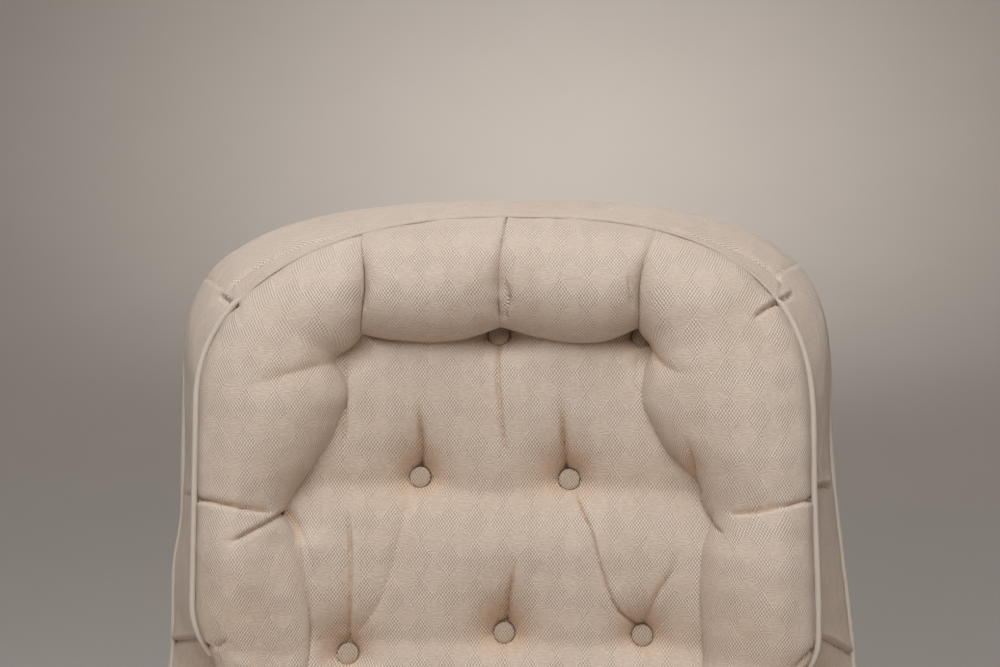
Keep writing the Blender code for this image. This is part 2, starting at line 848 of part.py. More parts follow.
def make_border(back):
    """The band round the back, from the face seam to the outside back."""
    foot_u = 1.98
    bm = bmesh.new()
    grid = bmesh.ops.create_grid(bm, x_segments=44, y_segments=2, size=0.5)
    for vert in grid["verts"]:
        u = vert.co.x * 2 * foot_u
        side = -1 if u < 0 else 1
        near = back_point(FACE, abs(u), side, FACE_Y + 0.010)
        far = back_point(SHELL, abs(u), side, SHELL_Y - 0.006)
        vert.co = near.lerp(far, vert.co.y + 0.5)
    bmesh.ops.reverse_faces(bm, faces=bm.faces)
    mesh = bpy.data.meshes.new("back_border")
    bm.to_mesh(mesh)
    bm.free()
    border = add("back_border", mesh, "fabric", back)
    solid = border.modifiers.new("thickness", "SOLIDIFY")
    solid.thickness = 0.005
    solid.offset = 0


def make_outside_back(back):
    inset = 0.006
    top = SHELL.base + SHELL.rise - inset - 0.001

    def spot(u, v):
        z = SHELL_LOW_Z + (1 - (1 - v) ** 1.6) * (top - SHELL_LOW_Z)
        return (2 * u - 1) * max(0.05, SHELL.half_width(z, inset)), z

    def front(u, v):
        x, z = spot(u, v)
        return x, SHELL_Y - barrel(x), z

    def rear(u, v):
        x, z = spot(u, v)
        return x, SHELL_Y + PANEL - barrel(x), z

    slab_from_grid("outside_back", 12, 16, front, rear, "fabric").parent = back


def make_back_welts(back):
    """The welt on the face seam, and the one round the outside back."""
    us = steps(1.96, 0, 27)
    face = [back_point(FACE, u, -1, FACE_Y + 0.0005, -0.004) for u in us]
    face += [Vector((-p.x, p.y, p.z)) for p in reversed(face[:-1])]
    us = steps(2, 0, 25)
    low = [(shell_side(z) + 0.001, z) for z in steps(SHELL_LOW_Z, WING_FOOT, 5)[:-1]]
    shell = [Vector((-x, SHELL_Y + 0.004 - barrel(x), z)) for x, z in low]
    shell += [back_point(SHELL, u, -1, SHELL_Y + 0.004, -0.001) for u in us]
    shell += [Vector((-p.x, p.y, p.z)) for p in reversed(shell[:-1])]
    tube("face_welt", face, WELT_R, "welt").parent = back
    tube("back_welt", shell, WELT_R, "welt").parent = back


def bent_board(name, half, z_low, z_high, y_low, y_high, material, back, cuts=8):
    """A board or sheet across the back that follows its hollow."""
    bm = bmesh.new()
    box_into(bm, (-half, y_low, z_low), (half, y_high, z_high))
    along = [e for e in bm.edges if abs(e.verts[0].co.x - e.verts[1].co.x) > half]
    bmesh.ops.subdivide_edges(bm, edges=along, cuts=cuts, use_grid_fill=True)
    for vert in bm.verts:
        vert.co.y -= barrel(vert.co.x)
    finish_mesh(bm, name, material).parent = back


def make_back_frame(back):
    for side in SIDES:
        post = side_box("back_post", side, (0.297, 0.335), (0.006, 0.040), (-0.196, 0.480), "frame_wood")
        bevel(post, 0.002, 1).parent = back
    bent_board("back_top_rail", 0.2965, 0.425, 0.480, 0.044, 0.074, "frame_wood", back)
    bent_board("back_low_rail", 0.2965, -0.060, -0.005, 0.044, 0.074, "frame_wood", back)
    webbing_ys = (PAD_BACK_Y + 0.0006, PAD_BACK_Y + 0.0030)
    bent_board("back_webbing", 0.2900, 0.020, 0.400, *webbing_ys, "webbing", back)


def main():
    make_base()
    swivel = empty("swivel_axis", (0, 0, 0.1412))
    tilt = empty("tilt_axis", (0, 0, TILT_Z), parent=swivel)
    knob = empty("knob_axis", (0, BOLT_Y, 0.0975), parent=tilt)
    back = empty("back_lean", (0, BACK_FOOT_Y, BACK_FOOT_Z), (-RECLINE, 0, 0), tilt)
    make_mechanism(swivel, tilt)
    make_knob(knob)
    make_seat_frame(tilt)
    make_seat_cushion(tilt)
    make_lower_covers(tilt)
    make_arms(tilt)
    make_back_frame(back)
    make_back_pad(back)
    make_buttons(back)
    make_rolls(back)
    make_border(back)
    make_outside_back(back)
    make_back_welts(back)


main()
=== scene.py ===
"""The looks of a button-tufted lounge chair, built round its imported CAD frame.

Metres, +Z up, and the chair faces -Y. The back is worked out upright in its own frame (X across,
Y to the rear, Z up along the back), which leans by RECLINE about BACK_FOOT. Soft pieces are lofts:
a stack of closed rings, whose "cloth" attribute says where on its fabric each point lies.
"""

import json
import math

import bpy
import numpy as np
from mathutils import Matrix, Vector

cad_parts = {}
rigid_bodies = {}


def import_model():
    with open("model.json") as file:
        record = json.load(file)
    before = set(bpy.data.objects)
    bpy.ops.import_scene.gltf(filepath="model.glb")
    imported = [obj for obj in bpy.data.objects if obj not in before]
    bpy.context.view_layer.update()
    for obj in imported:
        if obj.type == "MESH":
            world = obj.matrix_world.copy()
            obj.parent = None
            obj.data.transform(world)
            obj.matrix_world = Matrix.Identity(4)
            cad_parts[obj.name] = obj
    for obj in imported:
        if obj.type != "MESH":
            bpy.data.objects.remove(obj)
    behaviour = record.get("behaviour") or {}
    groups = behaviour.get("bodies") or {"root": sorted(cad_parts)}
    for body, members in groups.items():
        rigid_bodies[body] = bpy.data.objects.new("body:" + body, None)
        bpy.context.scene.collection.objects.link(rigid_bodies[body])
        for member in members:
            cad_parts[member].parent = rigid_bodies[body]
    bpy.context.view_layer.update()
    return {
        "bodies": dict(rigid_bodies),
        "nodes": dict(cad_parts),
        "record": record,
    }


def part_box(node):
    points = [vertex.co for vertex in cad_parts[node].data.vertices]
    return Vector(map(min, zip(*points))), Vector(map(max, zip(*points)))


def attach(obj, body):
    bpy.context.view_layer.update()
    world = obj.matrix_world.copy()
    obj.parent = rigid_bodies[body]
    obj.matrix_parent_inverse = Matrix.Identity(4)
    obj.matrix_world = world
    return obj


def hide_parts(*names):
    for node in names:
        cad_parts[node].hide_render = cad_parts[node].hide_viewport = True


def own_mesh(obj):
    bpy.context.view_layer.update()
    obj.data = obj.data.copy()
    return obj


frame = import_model()
NODES = frame["nodes"]
SIDES = (-1, 1)

# ---------------------------------------------------------------- the back's own frame

BACK_FOOT = (0, 0.170, 0.430)
RECLINE = math.radians(14)
BARREL = 0.33  # the back's hollow: a point at x comes BARREL * x * x forward
FACE_Y = -0.025  # depth of the face seam
SHELL_Y = 0.082  # inner side of the outside back
WING_FOOT = 0.140  # lowest height of the wings
WELT_R = 0.004
PAD_LOW = -0.100  # height up the back of the tufted pad's foot

BUTTON_PLACES = (  # x, and z up the back
    (-0.150, 0.520),
    (-0.009, 0.503),
    (0.154, 0.503),
    (-0.097, 0.340),
    (0.073, 0.340),
    (-0.175, 0.140),
    (0.001, 0.165),
    (0.157, 0.167),
)

LEAN = Matrix.Translation(BACK_FOOT) @ Matrix.Rotation(-RECLINE, 4, "X")


def lean(points):
    """Points of the back's own frame, in the row frame."""
    turn = np.array(LEAN)
    return np.asarray(points) @ turn[:3, :3].T + turn[:3, 3]


def barrel(x):
    """How far the back's curve brings a point at x forward."""
    return BARREL * x * x


def on_back(x, y, z):
    """Points of the back's own frame, brought forward by its curve."""
    return np.stack([x, y - barrel(x), z], axis=-1)


def named(name, side):
    return f"{name}_{'left' if side < 0 else 'right'}"


# ---------------------------------------------------------------- camera and light

VIEW_CENTRE = (-0.006, -0.030, 0.504)  # in the back's frame
VIEW_DISTANCE = 1.90
VIEW_AZIMUTH = math.radians(3)
VIEW_ELEVATION = math.radians(12)
VIEW_LENS = 61  # mm


def aim(obj, target):
    """Turns a camera or lamp towards a point."""
    direction = Vector(target) - obj.location
    obj.rotation_mode = "QUATERNION"
    obj.rotation_quaternion = direction.to_track_quat("-Z", "Y")


def make_camera():
    """The photo's view: from the front and a little above, on the upper half of the back."""
    data = bpy.data.cameras.new("camera")
    data.lens = VIEW_LENS
    data.sensor_width = 36
    data.clip_end = 50
    camera = bpy.data.objects.new("camera", data)
    bpy.context.scene.collection.objects.link(camera)
    target = LEAN @ Vector(VIEW_CENTRE)
    away = Vector(
        (
            math.sin(VIEW_AZIMUTH) * math.cos(VIEW_ELEVATION),
            -math.cos(VIEW_AZIMUTH) * math.cos(VIEW_ELEVATION),
            math.sin(VIEW_ELEVATION),
        )
    )
    camera.location = target + VIEW_DISTANCE * away
    aim(camera, target)
    bpy.context.scene.camera = camera


def area_light(name, place, target, size, power, colour, spread=180):
    """A round lamp, its size in metres, its power in watts and its beam's spread in degrees."""
    data = bpy.data.lights.new(name, "AREA")
    data.spread = math.radians(spread)
    data.shape = "DISK"
    data.size = size
    data.energy = power
    data.color = colour
    light = bpy.data.objects.new(name, data)
    bpy.context.scene.collection.objects.link(light)
    light.location = place
    aim(light, target)


def make_lights():
    """A big soft key from the front, a lamp above, weak fills, and lamps on the backdrop."""
    world = bpy.data.worlds.new("studio")
    world.use_nodes = True
    sky = world.node_tree.nodes["Background"]
    sky.inputs["Color"].default_value = (1.0, 0.84, 0.68, 1)
    sky.inputs["Strength"].default_value = 0.13
    bpy.context.scene.world = world
    bpy.context.scene.view_settings.view_transform = "Standard"
    chest = (0, 0.1, 0.75)
    cool, warm = (0.95, 0.98, 1.0), (1.0, 0.95, 0.90)
    area_light("key_light", (-0.15, -1.9, 3.3), chest, 2.6, 72, cool)
    area_light("top_light", (-0.1, -0.3, 3.0), chest, 1.4, 14, cool)
    area_light("fill_light", (1.2, -2.8, 1.0), chest, 2.2, 3, (1.0, 0.96, 0.92))
    area_light("rear_light", (-0.6, 3.2, 2.2), chest, 1.6, 4, (1.0, 0.98, 0.96), 70)
    area_light("backdrop_light", (0, 3.4, 3.4), (0, 6.0, 0.1), 1.2, 16, warm, 80)
    for index, (x, y) in enumerate(((-3.4, 0), (0, -3.4), (3.4, 0), (0, 3.4))):
        area_light(f"wall_light_{index + 1}", (x, y, 3.6), (2 * x, 2 * y, 0.9), 1.6, 34, warm)


# ---------------------------------------------------------------- procedural materials


class Graph:
    """A short way to write a material's nodes."""

    def __init__(self, name):
        self.material = bpy.data.materials.new(name)
        self.material.use_nodes = True
        self.tree = self.material.node_tree
        self.shader = self.tree.nodes["Principled BSDF"]

    def node(self, kind, inputs=None, **settings):
        made = self.tree.nodes.new("ShaderNode" + kind)
        for key, value in settings.items():
            setattr(made, key, value)
        for key, value in (inputs or {}).items():
            self.put(value, made.inputs[key])
        return made

    def put(self, value, socket):
        if isinstance(value, bpy.types.NodeSocket):
            self.tree.links.new(value, socket)
        else:
            socket.default_value = value

    def math(self, operation, first, second=0.0, third=0.0):
        inputs = {0: first, 1: second, 2: third}
        return self.node("Math", inputs, operation=operation).outputs[0]

    def wave(self, value, period):
        """cos(2 pi value / period)"""
        turns = self.math("MULTIPLY", value, 2 * math.pi / period)
        return self.math("COSINE", turns)

    def place(self):
        """Where a point lies in its object's own space."""
        return self.node("TexCoord").outputs["Object"]

    def attribute(self, name, kind="Vector"):
        return self.node("Attribute", attribute_name=name).outputs[kind]

    def split(self, vector):
        """The X, Y and Z of a vector."""
        return self.node("SeparateXYZ", {0: vector}).outputs

    def noise(self, where, scale, detail=2.0, roughness=0.5):
        inputs = {"Vector": where, "Scale": scale, "Detail": detail, "Roughness": roughness}
        return self.node("TexNoise", inputs).outputs["Fac"]

    def ramp(self, value, low, high, to_low=0.0, to_high=1.0, smooth=True):
        inputs = {0: value, 1: low, 2: high, 3: to_low, 4: to_high}
        kind = "SMOOTHSTEP" if smooth else "LINEAR"
        return self.node("MapRange", inputs, interpolation_type=kind).outputs[0]

    def mix(self, share, first, second, blend="MIX"):
        made = self.node("Mix", data_type="RGBA", blend_type=blend)
        self.put(share, made.inputs[0])
        self.put(first, made.inputs[6])
        self.put(second, made.inputs[7])
        return made.outputs[2]

    def stretch(self, vector, scale):
        inputs = {"Vector": vector, "Scale": scale}
        return self.node("Mapping", inputs).outputs["Vector"]

    def clouded(self, place, scale, colour, darker, share):
        """The colour, darker by the given factor in soft patches of a given share."""
        cloudy = self.noise(place, scale, 3.0)
        shade = tuple(c * darker for c in colour)
        tone = self.mix(self.ramp(cloudy, 0.3, 0.7, 0.0, share), (*colour, 1), (*shade, 1))
        return cloudy, tone

    def bump(self, height, distance, strength=1.0, under=None):
        inputs = {"Height": height, "Distance": distance, "Strength": strength}
        if under is not None:
            inputs["Normal"] = under
        return self.node("Bump", inputs).outputs["Normal"]

    def finish(self, colour, roughness, normal=None, **constants):
        self.put(colour, self.shader.inputs["Base Color"])
        self.put(roughness, self.shader.inputs["Roughness"])
        if normal is not None:
            self.put(normal, self.shader.inputs["Normal"])
        for key, value in constants.items():
            self.shader.inputs[key.replace("_", " ")].default_value = value
        return self.material


DIAMOND_W = 0.0306  # the damask's diamonds, whole width and height
DIAMOND_H = 0.0418
DOT_W = 0.0035  # the coarse weave's dots, every second row shifted
DOT_H = 0.0050
THREAD_W = 0.0011  # the plain weave's threads
THREAD_H = 0.0013
WEAVE_DEPTH = 0.0011
CREAM = (0.90, 0.772, 0.672)
# between the threads the weave's own tone is darker, and painted shade in the gaps deepens it
IN_THE_GAPS = (0.68, 0.61, 0.55)  # how much darker each colour is between the threads
AGED = (0.955, 0.93, 0.90, 1)
# brown of the painted shade laid in the pits, creases and seams
PAINTED_SHADE_TINT = (0.92, 0.845, 0.76, 1)
STRIPE_RED = (0.25, 0.05, 0.04, 1)


def cloth_place(graph):
    """Where a point lies on its fabric, a little uneven as woven threads are."""
    place = graph.attribute("cloth")
    uneven = {"Vector": place, "Scale": 60.0, "Detail": 1.0}
    jitter = graph.node("TexNoise", uneven).outputs["Color"]
    moved = graph.node("VectorMath", {0: jitter, 1: (0.5, 0.5, 0.5)}, operation="SUBTRACT").outputs[0]
    moved = graph.node("VectorMath", {0: moved, 3: 0.0016}, operation="SCALE").outputs[0]
    return graph.node("VectorMath", {0: place, 1: moved}, operation="ADD").outputs[0]


def make_damask(name, light):
    """Cream cotton: diamonds of a coarse dotted weave beside diamonds of a plain one. An attribute
    browns it with painted shade in the pits and seams."""
    graph = Graph(name)
    place = cloth_place(graph)
    across, up, _ = graph.split(place)
    diamonds = graph.math("ADD", graph.wave(across, DIAMOND_W), graph.wave(up, DIAMOND_H))
    dotted = graph.ramp(diamonds, -0.30, 0.02)
    dots = graph.math("MULTIPLY", graph.wave(across, DOT_W), graph.wave(up, DOT_H))
    dots = graph.ramp(dots, -0.72, 0.50, 0.08, 1.30)
    threads = graph.math("MULTIPLY", graph.wave(across, THREAD_W), graph.wave(up, THREAD_H))
    slub = graph.noise(graph.stretch(place, (0.28, 1.0, 1.0)), 620.0, 3.0, 0.65)
    slub = graph.ramp(slub, 0.30, 0.70)
    plain = graph.math("MULTIPLY_ADD", slub, 0.48, 0.36)
    plain = graph.math("MULTIPLY_ADD", threads, 0.12, plain)
    weave = graph.node("Mix", {0: dotted, 2: plain, 3: dots}, data_type="FLOAT").outputs[0]
    fuzz = graph.noise(place, 900.0, 3.0, 0.7)
    height = graph.math("MULTIPLY_ADD", fuzz, 0.22, weave)
    normal = graph.bump(height, WEAVE_DEPTH, 0.9)
    # darker where the weave lies low: its own tone there, deepened with painted shade in the gaps
    dark = tuple(c * s for c, s in zip(light, IN_THE_GAPS))
    colour = graph.mix(graph.ramp(weave, 0.0, 1.25, smooth=False), (*dark, 1), (*light, 1))
    age = graph.noise(place, 9.0, 3.0)
    aged = graph.mix(graph.ramp(age, 0.35, 0.75), colour, AGED, "MULTIPLY")
    # painted shade: each piece's attribute browns the cloth in its pits and creases
    aged = graph.mix(graph.attribute("painted_shade", "Fac"), aged, PAINTED_SHADE_TINT, "MULTIPLY")
    return graph.finish(aged, 0.92, normal, Sheen_Weight=0.10, Sheen_Roughness=0.5, IOR=1.4)


def make_cord_cloth():
    """The same cotton cut on the bias round a cord, so that its threads run slantwise."""
    graph = Graph("bias_cord")
    place = graph.attribute("cloth")
    across, up, _ = graph.split(place)
    slant = graph.math("MULTIPLY_ADD", across, 0.9, up)
    cross = graph.math("MULTIPLY_ADD", across, -0.9, up)
    crossing = graph.math("MULTIPLY", graph.wave(cross, 0.0021), 0.5)
    ribs = graph.math("ADD", graph.wave(slant, 0.0024), crossing)
    fuzz = graph.noise(place, 900.0, 3.0, 0.7)
    height = graph.math("MULTIPLY_ADD", ribs, 0.35, fuzz)
    # both tones are painted darker than the cream the cord is cut from: painted shade that keeps the
    # welts from standing out bright
    colour = graph.mix(graph.ramp(ribs, -1.2, 0.9), (0.58, 0.495, 0.42, 1), (0.74, 0.645, 0.56, 1))
    return graph.finish(colour, 0.92, graph.bump(height, 0.0004), Sheen_Weight=0.1, IOR=1.4)


def make_wood(name, dark, light, scale, roughness, coat):
    graph = Graph(name)
    place = graph.place()
    long_grain = graph.noise(graph.stretch(place, (3.0, 3.0, 26.0)), scale, 5.0, 0.62)
    pores = graph.noise(graph.stretch(place, (5.0, 5.0, 90.0)), scale * 2.2, 3.0, 0.6)
    grain = graph.math("MULTIPLY_ADD", pores, 0.35, graph.math("MULTIPLY", long_grain, 0.75))
    colour = graph.mix(graph.ramp(grain, 0.36, 0.72), (*dark, 1), (*light, 1))
    normal = graph.bump(grain, 0.0004, 0.5)
    rough = graph.ramp(grain, 0.3, 0.8, roughness + 0.12, roughness)
    return graph.finish(colour, rough, normal, Coat_Weight=coat, Coat_Roughness=0.25)


def make_metal(name, colour, roughness, metallic, scratch=0.4):
    graph = Graph(name)
    place = graph.place()
    brushed = graph.noise(graph.stretch(place, (60.0, 60.0, 6.0)), 12.0, 4.0, 0.6)
    tone = graph.clouded(place, 38.0, colour, 0.7, 0.35)[1]
    rough = graph.ramp(brushed, 0.3, 0.75, roughness, roughness + 0.18)
    return graph.finish(tone, rough, graph.bump(brushed, 0.0001, scratch), Metallic=metallic)


def make_moulded(name, colour, roughness, grain=420.0, depth=0.00025):
    graph = Graph(name)
    place = graph.place()
    pebbles = graph.node("TexVoronoi", {"Vector": place, "Scale": grain}).outputs["Distance"]
    cloudy, tone = graph.clouded(place, 45.0, colour, 0.75, 0.3)
    rough = graph.ramp(cloudy, 0.3, 0.7, roughness, roughness + 0.1)
    return graph.finish(tone, rough, graph.bump(pebbles, depth, 0.6))


def make_woven(name, light, dark, pitch, depth, stripe=None):
    """A plain woven tape or sheet, by the object's own X and Y or Z."""
    graph = Graph(name)
    x, y, z = graph.split(graph.place())
    second = graph.math("ADD", y, z)
    over = graph.math("MULTIPLY", graph.wave(x, pitch), graph.wave(second, pitch))
    colour = graph.mix(graph.ramp(over, -0.8, 0.8), (*dark, 1), (*light, 1))
    if stripe:
        line = graph.ramp(graph.wave(second, stripe), 0.90, 0.96)
        colour = graph.mix(line, colour, STRIPE_RED)
    return graph.finish(colour, 0.95, graph.bump(over, depth, 0.8))


def make_materials():
    """The materials, by the names of the record's material slots."""
    walnut = (0.055, 0.026, 0.013), (0.20, 0.105, 0.052)
    beech = (0.42, 0.29, 0.17), (0.66, 0.50, 0.33)
    cambric = (0.05, 0.05, 0.052), (0.012, 0.012, 0.013)
    jute = (0.52, 0.41, 0.27), (0.26, 0.19, 0.11)
    return {
        "fabric": make_damask("damask", CREAM),
        # the buttons' cloth is the cream damask in a darker brown: painted shade of the pits they sit in
        "button": make_damask("button_cloth", (0.65, 0.53, 0.42)),
        "welt": make_cord_cloth(),
        "wood": make_wood("walnut", *walnut, 6.0, 0.34, 0.35),
        "frame_wood": make_wood("beech_frame", *beech, 5.0, 0.62, 0.0),
        "steel": make_metal("zinc_steel", (0.56, 0.56, 0.57), 0.30, 1.0),
        "black_steel": make_metal("black_enamel", (0.022, 0.022, 0.024), 0.38, 0.0, 0.25),
        "nylon": make_moulded("glide_nylon", (0.78, 0.76, 0.70), 0.42, 700.0, 0.0001),
        "rubber": make_moulded("moulded_rubber", (0.028, 0.028, 0.029), 0.68),
        "cambric": make_woven("black_cambric", *cambric, 0.0016, 0.0003),
        "webbing": make_woven("jute_webbing", *jute, 0.0034, 0.0010, 0.052),
    }


# ---------------------------------------------------------------- curves and lofts


def through(knots, values, at):
    """A smooth curve through values at knots, read at the given places."""
    knots = np.asarray(knots, float)
    values = np.asarray(values, float)
    if values.ndim == 1:
        return through(knots, values[:, None], at)[:, 0]
    spans = np.diff(knots)[:, None]
    slopes = np.diff(values, axis=0) / spans
    tangents = np.empty_like(values)
    tangents[0] = slopes[0]
    tangents[-1] = slopes[-1]
    tangents[1:-1] = (slopes[:-1] * spans[1:] + slopes[1:] * spans[:-1]) / (spans[:-1] + spans[1:])
    at = np.clip(np.asarray(at, float), knots[0], knots[-1])
    index = np.clip(np.searchsorted(knots, at, side="right") - 1, 0, len(knots) - 2)
    span = (knots[index + 1] - knots[index])[:, None]
    t = (at[:, None] - knots[index][:, None]) / span
    return (
        values[index] * (1 + 2 * t) * (1 - t) ** 2
        + span * tangents[index] * t * (1 - t) ** 2
        + values[index + 1] * t * t * (3 - 2 * t)
        + span * tangents[index + 1] * t * t * (t - 1)
    )


def lengths_along(points):
    """Distance along a line of points, from its first one."""
    steps = np.linalg.norm(np.diff(points, axis=0), axis=1)
    return np.concatenate([[0], np.cumsum(steps)])


def smooth_line(points, spacing):
    """Evenly spaced points on a smooth curve through the given ones."""
    points = np.asarray(points, float)
    rough = lengths_along(points)
    dense = through(rough, points, np.linspace(0, rough[-1], 40 * len(points)))
    along = lengths_along(dense)
    count = max(2, int(round(along[-1] / spacing)) + 1)
    even = np.linspace(0, along[-1], count)
    return np.stack([np.interp(even, along, dense[:, k]) for k in range(dense.shape[1])], axis=1)


def full_turn(count):
    """Angles once round, without the last one that would meet the first."""
    return np.linspace(0, 2 * math.pi, count, endpoint=False)


def turned(profile, turns):
    """A profile of radii and heights turned about Z. A radius may differ from turn to turn."""
    rows = [(r * np.cos(turns), r * np.sin(turns), height + 0 * turns) for r, height in profile]
    return np.array(rows).transpose(0, 2, 1)


def unit(vectors):
    """The vectors with a length of 1."""
    return vectors / np.maximum(1e-12, np.linalg.norm(vectors, axis=-1, keepdims=True))


def between(start, stop, share):
    """Points from start to stop, at the given shares of the way."""
    return start * (1 - share) + stop * share


def smooth_step(value):
    value = np.clip(value, 0, 1)
    return value * value * (3 - 2 * value)


def bell(distance, width):
    return np.exp(-((distance / width) ** 2))


CUSP_ROUND = 0.005  # how far the sharp valleys are rounded


def cusp(distance, below, above):
    """1 at a pulled-in line, falling to 0 at the two widths, with a sharp valley at the line."""
    width = np.where(distance < 0, below, above)
    reach = np.sqrt(distance**2 + CUSP_ROUND**2) - CUSP_ROUND
    return np.maximum(0, 1 - reach / width) ** 2


def ripple(x, z, size, seed):
    """Smooth noise over a piece's face, by its X and Z."""
    return soft_noise(np.stack([x, z, x * 0], axis=-1), size, seed)


def lumpy(start, x, z, layers):
    """A height with lumps added. Each layer is the lumps' height, their size and a seed."""
    return sum((height * ripple(x, z, size, seed) for height, size, seed in layers), start)


def soft_noise(points, size, seed):
    """Smooth value noise from -1 to 1 with lumps of the given size."""
    grid = np.random.default_rng(seed).uniform(-1, 1, (32, 32, 32))
    place = np.asarray(points) / size + 7.3
    cell = np.floor(place).astype(int)
    part = place - cell
    part = part * part * (3 - 2 * part)
    total = np.zeros(place.shape[:-1])
    for corner in range(8):
        offset = np.array([corner & 1, corner >> 1 & 1, corner >> 2 & 1])
        weight = np.where(offset, part, 1 - part).prod(axis=-1)
        at = (cell + offset) % 32
        total += weight * grid[at[..., 0], at[..., 1], at[..., 2]]
    return total


def line_distance(x, z, line):
    """How far each point lies from a line, on which side (+ is to its left), and how far along it."""
    line = smooth_line(line, 0.004)
    along = lengths_along(line)
    best = np.full(x.shape, 1e9)
    side = np.zeros(x.shape)
    where = np.zeros(x.shape)
    for index in range(len(line) - 1):
        start = line[index]
        step = line[index + 1] - start
        length = max(1e-9, np.hypot(*step))
        dx = x - start[0]
        dz = z - start[1]
        t = np.clip((dx * step[0] + dz * step[1]) / length**2, 0, 1)
        distance = np.hypot(dx - t * step[0], dz - t * step[1])
        nearer = distance < best
        best = np.where(nearer, distance, best)
        side = np.where(nearer, np.sign(step[0] * dz - step[1] * dx), side)
        where = np.where(nearer, (along[index] + t * length) / along[-1], where)
    return best, side, where


def crease(x, z, line, depth, width, lip=0.0, ends=(0.15, 0.35)):
    """Height of a pleat along a line: a sharp groove, with one side (the line's left, if lip is
    above 0) rolled up over it. It fades over the given shares of its length at its two ends."""
    distance, side, where = line_distance(x, z, line)
    fade = smooth_step(where / max(1e-3, ends[0])) if ends[0] else np.ones(x.shape)
    if ends[1]:
        fade = fade * smooth_step((1 - where) / ends[1])
    groove = -depth * np.exp(-np.abs(distance) / width)
    roll = np.abs(lip) * np.exp(-np.abs(distance - 1.3 * width) / (2.2 * width))
    raised = np.where(side * np.sign(lip) > 0, roll, 0) if lip else 0
    return fade * (groove + raised)


def creases(x, z, pleats):
    """The height of several pleats, from a table in millimetres."""
    total = 0
    for depth, width, lip, fade_in, fade_out, *line in pleats:
        sizes = depth / 1000, width / 1000, lip / 1000
        total = total + crease(x, z, np.array(line) / 1000, *sizes, (fade_in, fade_out))
    return total


def link(name, mesh, material=None, smooth=True):
    obj = bpy.data.objects.new(name, mesh)
    bpy.context.scene.collection.objects.link(obj)
    if smooth:
        mesh.shade_smooth()
    if material:
        mesh.materials.append(MATERIALS[material])
    return obj


def grid_faces(rows, columns, loop=False):
    """The quads of a stack of rings, whose last ring meets the first in a loop."""
    row = np.arange(rows if loop else rows - 1)[:, None]
    column = np.arange(columns)[None, :]
    beside = (column + 1) % columns
    above = (row + 1) % rows * columns
    below = row * columns
    corners = [below + column, below + beside, above + beside, above + column]
    return np.stack(corners, axis=-1).reshape(-1, 4)


def paint_shade(obj, painted_shade):
    """Stores how much painted shade, a brown tint, each point of a piece gets, from 0 to 1."""
    amounts = np.zeros(len(obj.data.vertices), np.float32)
    amounts[: painted_shade.size] = np.clip(painted_shade, 0, 1).ravel()
    obj.data.attributes.new("painted_shade", "FLOAT", "POINT").data.foreach_set("value", amounts)


def with_ends(rings):
    """A stack of rings as one list, followed by the middles of its first and last ring."""
    points = rings.reshape(-1, rings.shape[-1])
    return np.vstack([points, rings[0].mean(axis=0), rings[-1].mean(axis=0)])


def loft_faces(rows, columns, loop=False):
    """The faces of a loft: its quads, and a fan over each end unless the ends meet in a loop."""
    faces = grid_faces(rows, columns, loop).tolist()
    if loop:
        return faces
    first, last = rows * columns, rows * columns + 1
    base = (rows - 1) * columns
    for column in range(columns):
        beside = (column + 1) % columns
        faces.append((first, beside, column))
        faces.append((last, base + column, base + beside))
    return faces


def loft(name, rings, cloth, material, smooth=True, loop=False):
    """A closed piece from a stack of closed rings, with its normals outwards. Its two ends are
    filled, unless they meet in a loop."""
    faces = loft_faces(*rings.shape[:2], loop)
    if loop:
        return closed_mesh(name, rings.reshape(-1, 3), faces, cloth.reshape(-1, 2), material, smooth)
    return closed_mesh(name, with_ends(rings), faces, with_ends(cloth), material, smooth)


def closed_mesh(name, points, faces, cloth, material, smooth=True):
    mesh = bpy.data.meshes.new(name)
    mesh.from_pydata(points.tolist(), [], faces)
    mesh.validate()
    if signed_volume(mesh) < 0:
        mesh.flip_normals()
    flat = np.zeros((len(points), 3), np.float32)
    flat[:, : cloth.shape[1]] = cloth
    layer = mesh.attributes.new("cloth", "FLOAT_VECTOR", "POINT")
    layer.data.foreach_set("vector", flat.ravel())
    return link(name, mesh, material, smooth)


def mesh_points(mesh):
    points = np.empty(len(mesh.vertices) * 3)
    mesh.vertices.foreach_get("co", points)
    return points.reshape(-1, 3)


def signed_volume(mesh):
    mesh.calc_loop_triangles()
    corners = np.empty(len(mesh.loop_triangles) * 3, np.int32)
    mesh.loop_triangles.foreach_get("vertices", corners)
    a, b, c = mesh_points(mesh)[corners.reshape(-1, 3)].transpose(1, 0, 2)
    return float(np.einsum("ij,ij->i", a, np.cross(b, c)).sum())


def grid_normals(rings):
    """Outward-or-inward unit normals of a stack of closed rings, all on the same side."""
    along = np.gradient(rings, axis=0)
    around = (np.roll(rings, -1, axis=1) - np.roll(rings, 1, axis=1)) / 2
    return unit(np.cross(along, around))


def on_seat(obj, *nodes):
    """The piece rides on the tilting seat and stands for the named CAD nodes."""
    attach(obj, "seat")
    if nodes:
        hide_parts(*nodes)
    return obj


# ---------------------------------------------------------------- the back's outlines


